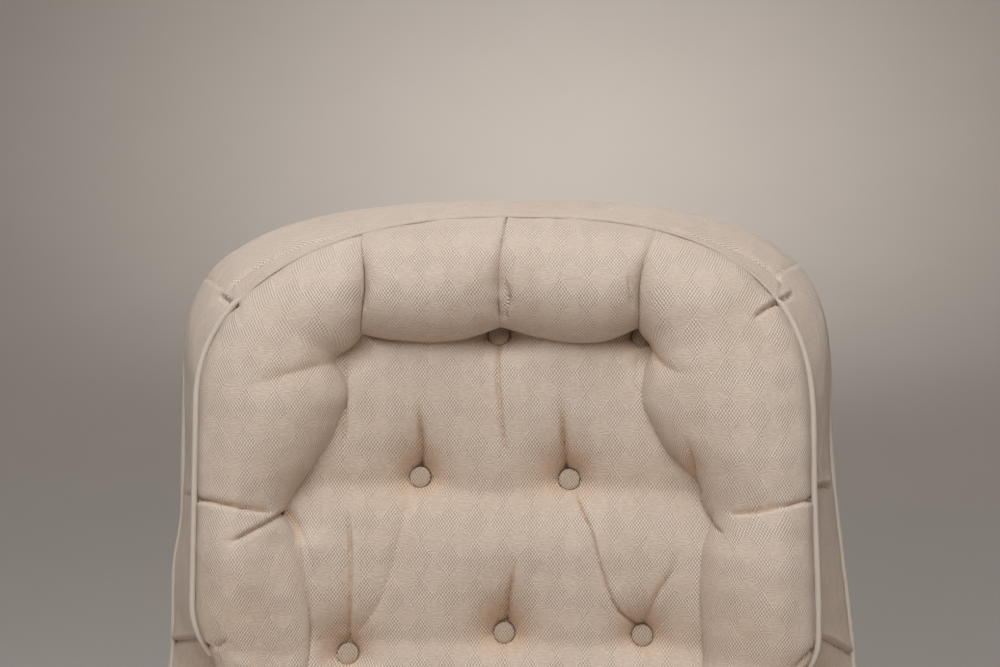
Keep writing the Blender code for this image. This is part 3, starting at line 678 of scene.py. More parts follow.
class Outline:
    """One half of an edge round the back: a superellipse head over a long side.

    points(u) run from the top centre, u = 0, to the side's start, u = 1, and to its foot, u = 2.
    """

    def __init__(self, half, rise, power, base, side):
        self.half = half
        self.rise = rise
        self.power = power
        self.base = base
        self.side = side

    def points(self, u, inset=0.0):
        u = np.asarray(u, float)
        z_side = self.base + (u - 1) * (WING_FOOT - self.base)
        angle = (1 - np.minimum(u, 1)) * math.pi / 2
        across = (np.cos(angle) / (self.half - inset)) ** self.power
        up = (np.sin(angle) / (self.rise - inset)) ** self.power
        reach = (across + up) ** (-1 / self.power)
        x = np.where(u > 1, self.side(z_side) - inset, reach * np.cos(angle))
        z = np.where(u > 1, z_side, self.base + reach * np.sin(angle))
        return x, z

    def half_width(self, z, inset=0.0):
        up = np.clip((z - self.base) / (self.rise - inset), 0, 1)
        head = (self.half - inset) * (1 - up**self.power) ** (1 / self.power)
        return np.where(z <= self.base, self.side(z) - inset, head)


def face_side_left(z):
    """The face seam's left side, which tucks in under the wing."""
    return 0.337 - 0.024 * np.maximum(0.0, (0.200 - z) / 0.060) ** 2


def face_side_right(z):
    widen = 0.006 * smooth_step((0.382 - z) / 0.20)
    return 0.335 + widen - 0.024 * np.maximum(0.0, (0.175 - z) / 0.050) ** 2


def shell_side_left(z):
    """The outside back's left edge, which spreads to meet the arm."""
    return 0.377 + 0.008 * smooth_step((0.30 - z) / 0.08) + 0.014 * smooth_step((0.14 - z) / 0.14)


def shell_side_right(z):
    return 0.369 + 0.031 * smooth_step((0.439 - z) / 0.37)


# The work was done by hand, so the two halves aren't quite alike: left (-1) and right (1).
FACE = {
    -1: Outline(half=0.337, rise=0.209, power=2.16, base=0.425, side=face_side_left),
    1: Outline(half=0.335, rise=0.252, power=2.76, base=0.382, side=face_side_right),
}
SHELL = {
    -1: Outline(half=0.377, rise=0.182, power=2.63, base=0.478, side=shell_side_left),
    1: Outline(half=0.369, rise=0.221, power=3.20, base=0.439, side=shell_side_right),
}

# ---------------------------------------------------------------- rolls

# Stations along a roll: u on the face seam, and the x and z of the roll's inner edge, with x
# measured outwards from the middle. The wings run down from their top seam, and the two halves of
# the top roll run from left to right.
LEFT_WING = (
    (0.451, 0.161, 0.502),
    (0.573, 0.168, 0.491),
    (0.707, 0.176, 0.481),
    (0.786, 0.183, 0.473),
    (0.858, 0.179, 0.456),
    (0.942, 0.177, 0.434),
    (1.044, 0.185, 0.407),
    (1.183, 0.199, 0.376),
    (1.300, 0.221, 0.341),
    (1.393, 0.242, 0.304),
    (1.516, 0.230, 0.274),
    (1.674, 0.219, 0.231),
    (1.807, 0.214, 0.189),
    (1.945, 0.213, 0.144),
)
RIGHT_WING = (
    (0.387, 0.148, 0.511),
    (0.500, 0.154, 0.499),
    (0.611, 0.158, 0.487),
    (0.676, 0.156, 0.473),
    (0.736, 0.153, 0.451),
    (0.819, 0.155, 0.429),
    (0.912, 0.164, 0.405),
    (0.994, 0.180, 0.376),
    (1.110, 0.205, 0.347),
    (1.212, 0.225, 0.304),
    (1.453, 0.220, 0.270),
    (1.637, 0.217, 0.224),
    (1.797, 0.219, 0.184),
    (1.962, 0.222, 0.147),
)
WING_TAIL = (  # below the wings: outer x and z, inner x and z, share of the roll's height
    (0.305, 0.112, 0.214, 0.110, 0.72),
    (0.2795, 0.080, 0.213, 0.080, 0.55),
    (0.2780, 0.040, 0.213, 0.040, 0.52),
    (0.2770, -0.012, 0.213, -0.012, 0.50),
)
TOP_LEFT = (
    (0.451, 0.161, 0.502),
    (0.344, 0.123, 0.4955),
    (0.249, 0.084, 0.493),
    (0.119, 0.043, 0.498),
    (0.004, 0.006, 0.512),
)
TOP_RIGHT = (
    (0.003, -0.006, 0.512),
    (0.113, 0.036, 0.500),
    (0.207, 0.073, 0.495),
    (0.309, 0.112, 0.497),
    (0.387, 0.148, 0.511),
)
ROLL_SECTION = (  # share of the way across, and height in front of the face seam
    (0.000, -0.014),
    (-0.006, 0.000),
    (0.040, 0.019),
    (0.170, 0.037),
    (0.340, 0.051),
    (0.530, 0.057),
    (0.710, 0.053),
    (0.860, 0.040),
    (0.960, 0.022),
    (1.000, 0.002),
    (0.985, -0.018),
    (0.900, -0.034),
)
FABRIC_STEP = 0.0020  # spacing of a soft piece's mesh
SECTION_H = 0.14  # the section is drawn at the roll's usual width, so that it is evenly spaced
BOW_REACH = 0.022  # how far along the roll its bulging end bends it
ROLL_BACK_DEPTH = 0.01032  # how deep a roll's hidden rear goes
WING_BULGE = 0.0065  # how far a roll's end bulges over the seam between top roll and wing
MIDDLE_BULGE = 0.0035  # and over the middle seam
SEAM_GAP = 0.0003  # the right top roll stops this far from the middle
WING_PULLS = {  # u of each pulled-in line, and how deep
    -1: ((0.770, 0.09), (1.387, 0.30), (1.945, 0.27)),
    1: ((0.688, 0.09), (1.205, 0.30), (1.962, 0.25)),
}
WING_SINK = {-1: 0.38, 1: 0.12}  # how much a wing's inner side sinks below its middle pleat

# Pleats, in millimetres: depth, width, lip, the shares of the length over which it fades in and
# out, and then the points of its line. The lip's sign says which side rolls over the groove.
LEFT_WING_PLEATS = (
    (8, 2.2, 3, 0, 0.5, (-322, 542), (-306, 534.5), (-296, 531), (-286, 527)),
    (1.6, 3, 0, 0, 0.6, (-306, 532), (-300, 515), (-296, 492)),
    (1.4, 3, 0, 0, 0.6, (-302, 531), (-288, 515), (-276, 500)),
    (6.5, 11, 0, 0, 0.6, (-183, 470), (-200, 465), (-222, 458), (-243, 452), (-265, 444), (-289, 446)),
    (2.2, 3, 1.2, 0.1, 0.5, (-160, 612), (-167, 600), (-170, 580)),
    (9.5, 2.2, -3.2, 0, 0.15, (-357, 313.5), (-331, 315), (-304, 312), (-277, 307), (-248, 302)),
    (7.5, 3.2, -2, 0, 0.45, (-242, 300.5), (-259, 289.5), (-275, 281), (-288, 274.5), (-306, 276)),
    (6, 2.6, 2.2, 0, 0.3, (-356, 158), (-333, 157), (-322, 156.5), (-312, 154.5)),
    (4.8, 3.4, -2.2, 0.2, 0.4, (-313, 153), (-304, 158), (-294, 165)),
)
RIGHT_WING_PLEATS = (
    (9.5, 2.4, -4.2, 0, 0.3, (322, 544), (306, 543), (291, 537), (278, 528), (269, 518)),
    (6, 7.5, 0, 0, 0.6, (154, 492), (169, 473), (187, 463), (213, 461)),
    (6.5, 3, 0, 0.6, 0.1, (198, 402), (200, 385), (204, 368), (208, 345), (217, 324)),
    (9.5, 2.2, 3.2, 0, 0.25, (352, 326), (334, 325), (302, 319.5), (269, 312), (240, 308.5)),
    (5.5, 3, 0, 0, 0.4, (225, 302), (231, 293), (243, 287)),
    (6, 2.8, -2, 0.2, 0, (318, 142), (329, 154.5), (340, 163), (358, 165)),
)
TOP_PLEATS = (  # gathers at the low end of the middle seam, and short ones by the wings
    (5, 2, 2.2, 0.35, 0.1, (1.5, 566), (3.5, 552), (4.5, 535), (1, 517)),
    (3, 2, 0, 0.4, 0.3, (8, 560), (7, 545), (8, 528)),
    (2.5, 2.2, 0, 0.4, 0.3, (-7, 545), (-7.5, 530), (-4, 518)),
    (2.8, 2.2, 1.2, 0.4, 0.2, (-148, 560), (-151, 545), (-152, 525)),
    (3, 2.2, -1.2, 0.4, 0.2, (134, 575), (137, 555), (140, 530)),
)


def face_stations(side, stations):
    """The u of each station, and its outer and inner points."""
    us = np.array([station[0] for station in stations])
    outer = np.stack(FACE[side].points(us), axis=1)
    return us, outer, np.array([station[1:3] for station in stations])


def roll_stations(side, stations, tail=()):
    """Outer points, inner points and height share along a roll, evenly spaced."""
    us, outer, inner = face_stations(side, stations)
    height = np.ones(len(stations))
    if tail:
        lower = np.array(tail)
        outer = np.vstack([outer, lower[:, 0:2]])
        inner = np.vstack([inner, lower[:, 2:4]])
        height = np.concatenate([height, lower[:, 4]])
    knots = lengths_along((outer + inner) / 2)
    count = int(knots[-1] / FABRIC_STEP)
    at = np.linspace(0, knots[-1], count)
    dense_u = np.interp(at, knots[: len(us)], us)
    outer_line = through(knots, outer, at)
    on_face = at <= knots[len(us) - 1]
    outer_line[on_face] = np.stack(FACE[side].points(dense_u[on_face]), axis=1)
    return outer_line, through(knots, inner, at), through(knots, height, at), at


def arc_lengths(grid, axis):
    """Distance along each line of a grid of points, from the line's first one."""
    steps = np.linalg.norm(np.diff(grid, axis=axis), axis=2)
    return np.concatenate([np.zeros_like(steps.take([0], axis)), np.cumsum(steps, axis=axis)], axis)


def roll_rings(side, outer, inner, height, pinch, drawn, bows=(0, 0)):
    """Rings of a roll in the back's frame, with each point's cloth place.

    pinch(across) gives the share of the height that each station keeps, with and without the
    gathers at the roll's ends. drawn is the direction in which the roll's curve takes up its
    fabric, and bows say how far its two ends bulge along it."""
    section = smooth_line(np.array(ROLL_SECTION) / (1, SECTION_H), FABRIC_STEP / SECTION_H)
    across, rise = section[:, 0], section[:, 1] * SECTION_H
    keep, calm = pinch(across)
    chord = inner - outer
    width = np.linalg.norm(chord, axis=1)
    plane = outer[:, None, :] + chord[:, None, :] * across[None, :, None]
    onward = unit(np.gradient(plane, axis=0))
    at = lengths_along((outer + inner) / 2)
    bulge = np.sin(np.clip(across, 0, 1) * math.pi) ** 1.3
    bow = bows[0] * np.exp(-at / BOW_REACH) + bows[1] * np.exp((at - at[-1]) / BOW_REACH)
    plane = plane + onward * (bow[:, None] * bulge[None, :])[..., None]
    x = side * plane[..., 0]

    def lifted(share):
        lift = np.maximum(rise, 0) * share * height[:, None] + np.minimum(rise, 0)
        return on_back(x, FACE_Y - lift, plane[..., 1])

    front = lifted(keep)
    arc = arc_lengths(lifted(calm), 1)
    spare = (arc - width[:, None] * across[None, :])[..., None]
    dive = arc_lengths(front, 0) - arc_lengths(plane, 0)
    dive = (dive - dive[len(dive) // 2])[..., None]
    cloth = (plane + drawn[:, None, :] * spare + onward * dive) * np.array([side, 1])
    return front, cloth


def close_rings(front, cloth):
    """Adds the way back from a roll's inner edge to its seam, behind the face."""
    share = np.linspace(0, 1, 12)[1:-1, None]
    back = between(front[:, -1:], front[:, :1], share)
    back[..., 1] += ROLL_BACK_DEPTH * np.sin(share[:, 0] * math.pi)
    cloth_back = between(cloth[:, -1:], cloth[:, :1], share)
    return np.concatenate([front, back], axis=1), np.concatenate([cloth, cloth_back], axis=1)


def finish_roll(name, front, cloth, pleats, layers, nodes):
    """Moves the roll's front by its lumps and pleats, along its normals, and makes the piece. It gets
    painted shade, a brown tint, towards its inner edge and in its pleats."""
    visible = front.shape[1]
    rings, cloth = close_rings(front, cloth)
    normals = grid_normals(rings)
    middle = rings.mean(axis=1, keepdims=True)
    if np.sum(normals * (rings - middle)) < 0:
        normals = -normals
    x, z = rings[..., 0], rings[..., 2]
    moved = lumpy(0, x, z, layers) + creases(x, z, pleats)
    moved[:, visible:] = 0
    rings = rings + normals * moved[..., None]
    obj = loft(name, lean(rings), cloth, "fabric")
    # painted shade towards the roll's inner edge, where it rolls under, and in its pleats
    inner = smooth_step((np.arange(rings.shape[1]) / visible - 0.80) / 0.18)
    paint_shade(obj, np.maximum(0.7 * inner[None, :], np.minimum(0.7, -moved / 0.008)))
    on_seat(obj, *nodes)


def make_wing_roll(side, stations, pleats, seed):
    """The long roll down one side, pulled in at its pleats and drawn together at its top seam."""
    us, seam, edge = face_stations(side, stations)
    knots = lengths_along((seam + edge) / 2)
    pulled = [(np.interp(u, us, knots), depth) for u, depth in WING_PULLS[side]]
    outer, inner, height, at = roll_stations(side, stations, WING_TAIL)
    seam_at = at[:, None]

    def pinch(across):
        inner_pull = smooth_step(across / 0.7)[None, :]
        below = smooth_step((seam_at - pulled[1][0]) / 0.05)
        calm = 1 - WING_SINK[side] * below * smooth_step((across - 0.35) / 0.5)
        for place, depth in pulled:
            calm = calm - depth * (0.7 + 0.3 * inner_pull) * cusp(place - seam_at, 0.075, 0.125)
        end = (0.05 + 0.30 * inner_pull) * np.exp(-seam_at / (0.004 + 0.008 * inner_pull))
        return calm - end, calm

    rising = smooth_step(unit(outer - inner)[:, 1])
    drawn = np.stack([0.6 * rising - 1, 0 * rising], axis=1)
    front, cloth = roll_rings(side, outer, inner, height, pinch, drawn, (-WING_BULGE, 0))
    layers = (0.0022, 0.055, seed), (0.0009, 0.018, seed + 1)
    finish_roll(named("wing_roll_cover", side), front, cloth, pleats, layers, [named("wing_roll", side)])


def make_top_roll(side, stations, nodes):
    """One half of the top roll, drawn together at both of its ends."""
    outer, inner, height, at = roll_stations(side, stations)
    if side > 0:
        outer[:, 0] = np.maximum(outer[:, 0], SEAM_GAP)
    start, stop = at[:, None], (at[-1] - at)[:, None]

    def pinch(across):
        inner_pull = smooth_step(across / 0.7)[None, :]
        reach = 0.004 + 0.008 * inner_pull
        near_wing = start if side < 0 else stop
        near_middle = stop if side < 0 else start
        wing_end = (0.10 + 0.36 * inner_pull) * np.exp(-near_wing / reach)
        middle_end = (0.035 + 0.32 * inner_pull) * np.exp(-near_middle / reach)
        return 1 - wing_end - middle_end, np.ones_like(wing_end)

    bows = (WING_BULGE, -MIDDLE_BULGE) if side < 0 else (-MIDDLE_BULGE, -WING_BULGE)
    drawn = np.tile([0.0, -1.0], (len(at), 1))
    front, cloth = roll_rings(side, outer, inner, height, pinch, drawn, bows)
    layers = (0.0018, 0.045, 23), (0.0007, 0.016, 24)
    finish_roll(named("top_roll_cover", side), front, cloth, TOP_PLEATS, layers, nodes)


# ---------------------------------------------------------------- tufted field

FIELD_HALF = 0.256
FIELD_TOP = 0.530
FIELD_EDGE_Y = 0.030  # the field's edge turns back this far, behind the rolls
FIELD_REAR_Y = 0.033
FIELD_STEP = 0.0012
CROWN = 0.031  # how far the field stands in front of the pad's own plane
PIT = 0.0330  # how deep a button pulls it in
TRENCH = 0.009  # how deep the top roll does
BUTTON_R = 0.0117
MOAT = 0.0026  # how deep the field is sunk round a button
CORNER_PITS = ((-0.172, 0.487), (0.160, 0.487))  # the voids under the top roll's ends
FIELD_ROWS = (  # the valleys between the buttons: height up the back, depth, droop in the middle
    (0.333, 0.0140, 0.006),
    (0.158, 0.0105, 0.0),
    (-0.015, 0.0090, 0.0),
)
FIELD_PLEATS = (  # the button pleats, as on the rolls
    (8.5, 2.1, 1.4, 0, 0.25, (-8, 500), (-7, 450), (-2, 400), (2, 365), (3, 350)),
    (13, 2.4, 1.4, 0, 0.7, (-97.5, 350), (-93.6, 368), (-93.8, 380), (-95.2, 400), (-98, 430)),
    (5.5, 12, 0, 0, 0.8, (-96.5, 345), (-96, 390), (-95, 440), (-92, 480)),
    (13, 2.4, -1.4, 0, 0.7, (70, 350), (68, 368), (66.5, 385), (64.5, 410), (63, 438)),
    (5.5, 12, 0, 0, 0.8, (72, 345), (68, 390), (64, 440), (60, 480)),
    (8, 2.1, 2.2, 0.1, 0.05, (78, 330), (85, 312), (97, 288), (110, 243), (130, 197), (155, 175)),
    (2.2, 6, 0, 0.1, 0.6, (74, 320), (74, 290), (69, 250), (67, 215)),
    (4.2, 6.5, 1.2, 0.1, 0.1, (-106, 325), (-111, 300), (-120, 255), (-138, 200), (-165, 160)),
    (1.8, 5, 0, 0.1, 0.6, (-94, 315), (-93, 285), (-95, 240)),
    (10, 2.2, -1.2, 0, 0.75, (4, 178), (7, 205), (12.5, 235), (18, 262)),
    (6, 15, 0, 0, 0.8, (3, 175), (9, 230), (16, 280)),
    (3, 3, 0, 0, 0.5, (2, 150), (3, 130), (4, 100)),
    (6.2, 4.8, 1.2, 0, 0.5, (158, 178), (164, 194), (172, 215), (188, 243), (196, 275)),
    (3.5, 3, 0, 0, 0.5, (148, 180), (142, 192), (134, 204)),
    (4, 3.5, 0, 0, 0.4, (160, 150), (163, 130), (166, 90)),
    (8, 2.1, -1.8, 0, 0.3, (-174.5, 155), (-172, 182), (-169.5, 222), (-170.5, 270), (-174, 312)),
    (4, 8, 0, 0.1, 0.6, (-177, 160), (-176, 222), (-178, 290)),
    (7, 2, 1.2, 0, 0.3, (-178, 465), (-177.5, 440), (-178, 405), (-180, 362)),
    (3, 2.4, 0, 0.1, 0.5, (148, 480), (147, 450), (144, 415)),
    (8, 5, 0, 0, 0.2, (-241, 300), (-232, 285), (-224, 245), (-216, 200), (-213, 140)),
    (3.4, 4, 0, 0, 0.5, (-236, 300), (-216, 262), (-206, 220), (-204, 180)),
)


def field_height(x, z):
    """Height of the tufted field in front of the pad's own plane."""
    height = lumpy(CROWN * np.ones(x.shape), x, z, ((0.0025, 0.075, 5), (0.0008, 0.022, 6)))
    lift = np.zeros(x.shape)
    for bx, bz in BUTTON_PLACES:
        drop = z - bz
        stretched = np.where(drop > 0, drop / 1.5, drop * 1.35)
        away = np.hypot((x - bx) / 1.25, stretched)
        lift = np.maximum(lift, np.exp(-np.maximum(0, away - 0.0085) / 0.016))
    for px, pz in CORNER_PITS:
        lift = np.maximum(lift, 0.6 * bell(np.hypot(x - px, z - pz), 0.022))
    height -= PIT * lift
    height -= TRENCH * smooth_step((z - 0.474) / 0.035)
    height += 0.010 * smooth_step((-0.185 - x) / 0.03) * smooth_step((0.290 - z) / 0.03)
    wander = 0.003 * ripple(x, z * 0, 0.06, 8)
    for row, depth, droop in FIELD_ROWS:
        line = row - droop * bell(x + 0.012, 0.055) + wander
        height -= depth * cusp(z - line, 0.075, 0.120)
    height += creases(x, z, FIELD_PLEATS)
    for bx, bz in BUTTON_PLACES:
        height -= MOAT * smooth_step((BUTTON_R + 0.0008 - np.hypot(x - bx, z - bz)) / 0.0012)
    return height


def make_field():
    """The tufted cover inside the rolls, with painted shade in its pits and pleats."""
    columns = int(2 * FIELD_HALF / FIELD_STEP)
    rows = int((FIELD_TOP - PAD_LOW) / FIELD_STEP)
    xs = np.linspace(-FIELD_HALF, FIELD_HALF, columns)
    zs = np.linspace(PAD_LOW, FIELD_TOP, rows)
    x, z = np.meshgrid(xs, zs)
    height = field_height(x, z)
    edge = smooth_step((FIELD_HALF - np.abs(x)) / 0.012) * smooth_step((z - PAD_LOW) / 0.030)
    front = on_back(x, FIELD_EDGE_Y - (height + FIELD_EDGE_Y) * edge, z)
    rear_xs = np.linspace(FIELD_HALF, -FIELD_HALF, 24)[1:-1]
    rear_x, rear_z = np.meshgrid(rear_xs, zs)
    rings = np.concatenate([front, on_back(rear_x, FIELD_REAR_Y, rear_z)], axis=1)
    field = loft("tufted_field", lean(rings), rings[..., [0, 2]], "fabric")
    # painted shade where the field sinks in: in its pits, row valleys and pleats
    painted_shade = np.zeros(rings.shape[:2])
    painted_shade[:, :columns] = (CROWN - 0.004 - height) / 0.030
    painted_shade[:, :columns] += np.clip((-creases(x, z, FIELD_PLEATS) - 0.003) / 0.006, 0, 0.5)
    paint_shade(field, painted_shade)
    on_seat(field, "back_pad")


def make_buttons():
    """Covered buttons: nearly flat discs, drawn in flush with the field round them."""
    profile = [(0.0002, 0.0026), (0.0045, 0.0024), (0.0080, 0.0018), (0.0102, 0.0010)]  # radius, height
    profile += [(0.0113, 0.0001), (BUTTON_R, -0.0014), (0.0115, -0.0034)]
    profile += [(0.0080, -0.0042), (0.0002, -0.0044)]
    line = smooth_line(profile, 0.0006)
    turns = full_turn(48)
    ring = 1.25 * BUTTON_R
    for index, (bx, bz) in enumerate(BUTTON_PLACES):
        around = field_height(bx + ring * np.cos(turns), bz + ring * np.sin(turns))
        slope_x = np.clip(2 * np.mean(around * np.cos(turns)) / ring, -0.3, 0.3)
        slope_z = np.clip(2 * np.mean(around * np.sin(turns)) / ring, -0.3, 0.3)
        pucker = 1 + 0.010 * np.cos(11 * turns + index)
        r = line[:, 0][:, None] * np.where(line[:, 1][:, None] < 0.001, pucker, 1)
        x = r * np.cos(turns)
        z = r * np.sin(turns)
        height = np.mean(around) + line[:, 1][:, None] + slope_x * x + slope_z * z
        rings = on_back(bx + x, -height, bz + z)
        cloth = np.stack([x * 1.06 + 0.013 * index, z * 1.06], axis=-1)
        obj = loft(f"covered_button_{index + 1}", lean(rings), cloth, "button")
        on_seat(obj, f"tufting_button_{index + 1}")


# ---------------------------------------------------------------- welts

CORD_STEP = 0.003  # spacing of a cord's rings
TUCK_Z = {-1: 0.536, 1: 0.540}  # height of the corner tucks, where the welt's flange lies flat


def cord_rings(centres, radius, loop=False, sides=12):
    """Rings of a cord along a line of points."""
    ahead = np.gradient(centres, axis=0)
    if loop:
        ahead = np.roll(centres, -1, axis=0) - np.roll(centres, 1, axis=0)
    ahead = unit(ahead)
    up = np.tile([0.0, 1.0, 0.0], (len(centres), 1))
    flat = np.abs((ahead * up).sum(axis=1)) > 0.97
    up[flat] = [1.0, 0.0, 0.0]
    first = unit(np.cross(ahead, up))
    second = np.cross(ahead, first)
    angles = full_turn(sides)
    turn = first[:, None, :] * np.cos(angles)[None, :, None]
    turn = turn + second[:, None, :] * np.sin(angles)[None, :, None]
    return centres[:, None, :] + radius * turn, angles


def make_welt(name, centres, nodes=(), radius=WELT_R, seed=1, world=False, loop=False):
    """A cord in a bias-cut cover, a little uneven along its length. Its centres are given in the
    back's own frame, or with world in the row frame."""
    along = lengths_along(centres)
    uneven = 1 + 0.05 * ripple(along, along * 0, 0.03, seed)
    rings, angles = cord_rings(centres, 1.0, loop)
    middle = centres[:, None, :]
    rings = middle + (rings - middle) * (radius * uneven)[:, None, None]
    around = np.broadcast_to(angles[None, :] * np.mean(radius), (len(centres), len(angles)))
    lengthwise = np.broadcast_to(along[:, None], around.shape)
    cloth = np.stack([around, lengthwise], axis=-1)
    obj = loft(name, rings if world else lean(rings), cloth, "welt", loop=loop)
    return on_seat(obj, *nodes)


def outline_line(outlines, us, y, inset):
    """A line round the back from its left foot over the top to its right foot."""
    halves = []
    for side in SIDES:
        x, z = outlines[side].points(us, inset)
        halves.append(on_back(side * x, y, z))
    return np.vstack([halves[0], halves[1][::-1][1:]])


def shell_foot(lift):
    """Height up the back of the outside back's foot, raised by lift."""
    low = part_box("outside_back")[0].z
    return (low + lift - BACK_FOOT[2]) / math.cos(RECLINE) + SHELL_Y * math.tan(RECLINE)


def make_back_welts():
    """The cord on the face seam, which sinks in along the head, and the one round the outside."""
    face = outline_line(FACE, np.linspace(1.99, 0, 70), FACE_Y + 0.0005, -0.0042)
    face = smooth_line(face, CORD_STEP)
    tuck = np.where(face[:, 0] < 0, TUCK_Z[-1], TUCK_Z[1])
    sunk = smooth_step((face[:, 2] - tuck + 0.004) / 0.012)
    face[:, 2] -= 0.0020 * sunk
    face[:, 1] += 0.0008 * sunk
    make_welt("face_seam_welt", face, ["face_welt"], WELT_R * (0.95 - 0.52 * sunk))
    zs = np.linspace(shell_foot(0.0015), WING_FOOT, 12)[:-1]
    lows = []
    for side in SIDES:
        half = SHELL[side].side(zs)
        lows.append(np.stack([side * (half + 0.001), SHELL_Y + 0.004 - barrel(half), zs], axis=1))
    shell = outline_line(SHELL, np.linspace(2, 0, 70), SHELL_Y + 0.0045, -0.0005)
    head = smooth_step((shell[:, 2] - 0.47) / 0.06)
    shell[:, 0] *= 1 - 0.008 * head
    shell[:, 2] -= 0.0038 * head
    shell[:, 1] += 0.0015 * head
    line = np.vstack([lows[0], shell, lows[1][::-1]])
    make_welt("outside_back_welt", smooth_line(line, CORD_STEP), ["back_welt"])


# ---------------------------------------------------------------- border band and outside back

BAND_THICK = 0.006
BAND_RINGS = 420  # on each half
BAND_COLUMNS = 76
BAND_CENTRE_Z = 0.25  # the band's relief points away from here
BAND_FOOT_Z = 0.088  # the band runs down behind the arms
BAND_STRIPS = (  # side, the tuck's and the seam's u, and the welt flange's share of the width at both
    (-1, 0.787, 0.480, 0.25, 0.14),
    (1, 0.690, 0.440, 0.27, 0.10),
)
BAND_FOLDS = (  # side; u at the face seam and at the outside back; from and to, as shares of the
    # width; depth; width; and a lip, whose sign says which side rolls over
    (-1, 0.775, 0.849, 0.30, 1.00, 0.0034, 0.0016, 0.0012),
    (-1, 0.787, 0.870, -0.10, 0.40, 0.0110, 0.0018, -0.0050),
    (-1, 1.377, 1.492, -0.10, 0.75, 0.0030, 0.0022, -0.0012),
    (-1, 1.924, 1.992, -0.10, 1.10, 0.0080, 0.0024, -0.0045),
    (1, 0.645, 0.733, 0.30, 1.00, 0.0034, 0.0016, 0.0012),
    (1, 0.690, 0.790, -0.10, 0.38, 0.0110, 0.0018, -0.0050),
    (1, 1.186, 1.353, -0.10, 0.80, 0.0070, 0.0022, -0.0042),
    (1, 1.842, 1.980, -0.10, 1.10, 0.0080, 0.0024, -0.0045),
)


def band_fold(side, along_at, along, across, near_u, far_u, start, stop, depth, width, lip):
    """Relief of a fold that crosses the band: a sharp groove with the cloth rolled over one side."""
    near, far = along_at(side, near_u), along_at(side, far_u)
    away = (along[:, None] - (near + (far - near) * across[None, :])) * side
    fade = smooth_step((across - start) / 0.08) * smooth_step((stop - across) / 0.14)
    groove = -depth * np.exp(-np.abs(away) / width)
    roll = np.abs(lip) * np.exp(-np.abs(away - np.sign(lip) * 2.2 * width) / (3.0 * width))
    return fade[None, :] * (groove + np.where(away * np.sign(lip) > 0, roll, 0))


def make_border_band():
    """The band from the face seam to the outside back, softly padded."""
    foot_us = []
    for side in SIDES:
        base = FACE[side].base
        foot_us.append(1 + (base - BAND_FOOT_Z) / (base - WING_FOOT))
    left = np.linspace(foot_us[0], 0, BAND_RINGS)
    right = np.linspace(0, foot_us[1], BAND_RINGS)[1:]
    us = np.concatenate([left, right])
    sides = np.concatenate([-np.ones(len(left)), np.ones(len(right))])
    edges = []
    for outlines, y in ((FACE, FACE_Y + 0.002), (SHELL, SHELL_Y + 0.001)):
        x, z = np.where(sides < 0, outlines[-1].points(us), outlines[1].points(us))
        edges.append(on_back(sides * x, y, z))
    near, far = edges
    across = np.linspace(0, 1, BAND_COLUMNS)
    outer = between(near[:, None, :], far[:, None, :], across[None, :, None])
    out = outer - np.array([0, 0, BAND_CENTRE_Z])
    out[..., 1] = 0
    out = unit(out)
    along = lengths_along((near + far) / 2)
    widths = np.linalg.norm(far - near, axis=1)

    def along_at(side, u):
        mine = sides == side
        return along[mine][np.argmin(np.abs(us[mine] - u))]

    head = smooth_step((1.25 - us) / 0.5)[:, None]
    shoulder = smooth_step(across / 0.7) * smooth_step((1 - across) / 0.05)
    swell = (0.0036 + 0.0040 * head) * np.sin(across**1.25 * math.pi)[None, :] ** 0.7
    swell = swell + 0.0032 * shoulder[None, :] * head
    flat_along, flat_across = np.broadcast_arrays(along[:, None], 0.12 * across[None, :])
    layers = (0.0016, 0.05, 31), (0.0007, 0.018, 32)
    relief = lumpy(swell, flat_along, flat_across, layers)
    for side, *fold in BAND_FOLDS:
        relief = relief + band_fold(side, along_at, along, across, *fold)
    for side, tuck_u, seam_u, tuck_share, seam_share in BAND_STRIPS:
        inside = smooth_step((tuck_u - us) / 0.012) * smooth_step((us - seam_u + 0.03) / 0.03)
        share = seam_share + (tuck_share - seam_share) * smooth_step((us - seam_u) / (tuck_u - seam_u))
        from_edge = (across[None, :] - share[:, None]) * widths[:, None]
        strip = 0.0030 * smooth_step(-from_edge / 0.0025) - 0.0042 * bell(from_edge - 0.0050, 0.0050)
        relief = relief + (inside * (sides == side))[:, None] * strip
    outer = outer + out * relief[..., None]
    inner = outer[:, ::-1] - out[:, ::-1] * BAND_THICK
    rings = np.concatenate([outer, inner], axis=1)
    span = widths[:, None] * across[None, :]
    cloth_outer = np.stack([span, np.broadcast_to(along[:, None], span.shape)], axis=-1)
    cloth = np.concatenate([cloth_outer, cloth_outer[:, ::-1]], axis=1)
    band = loft("border_band", lean(rings), cloth, "fabric")
    on_seat(band, "back_border")


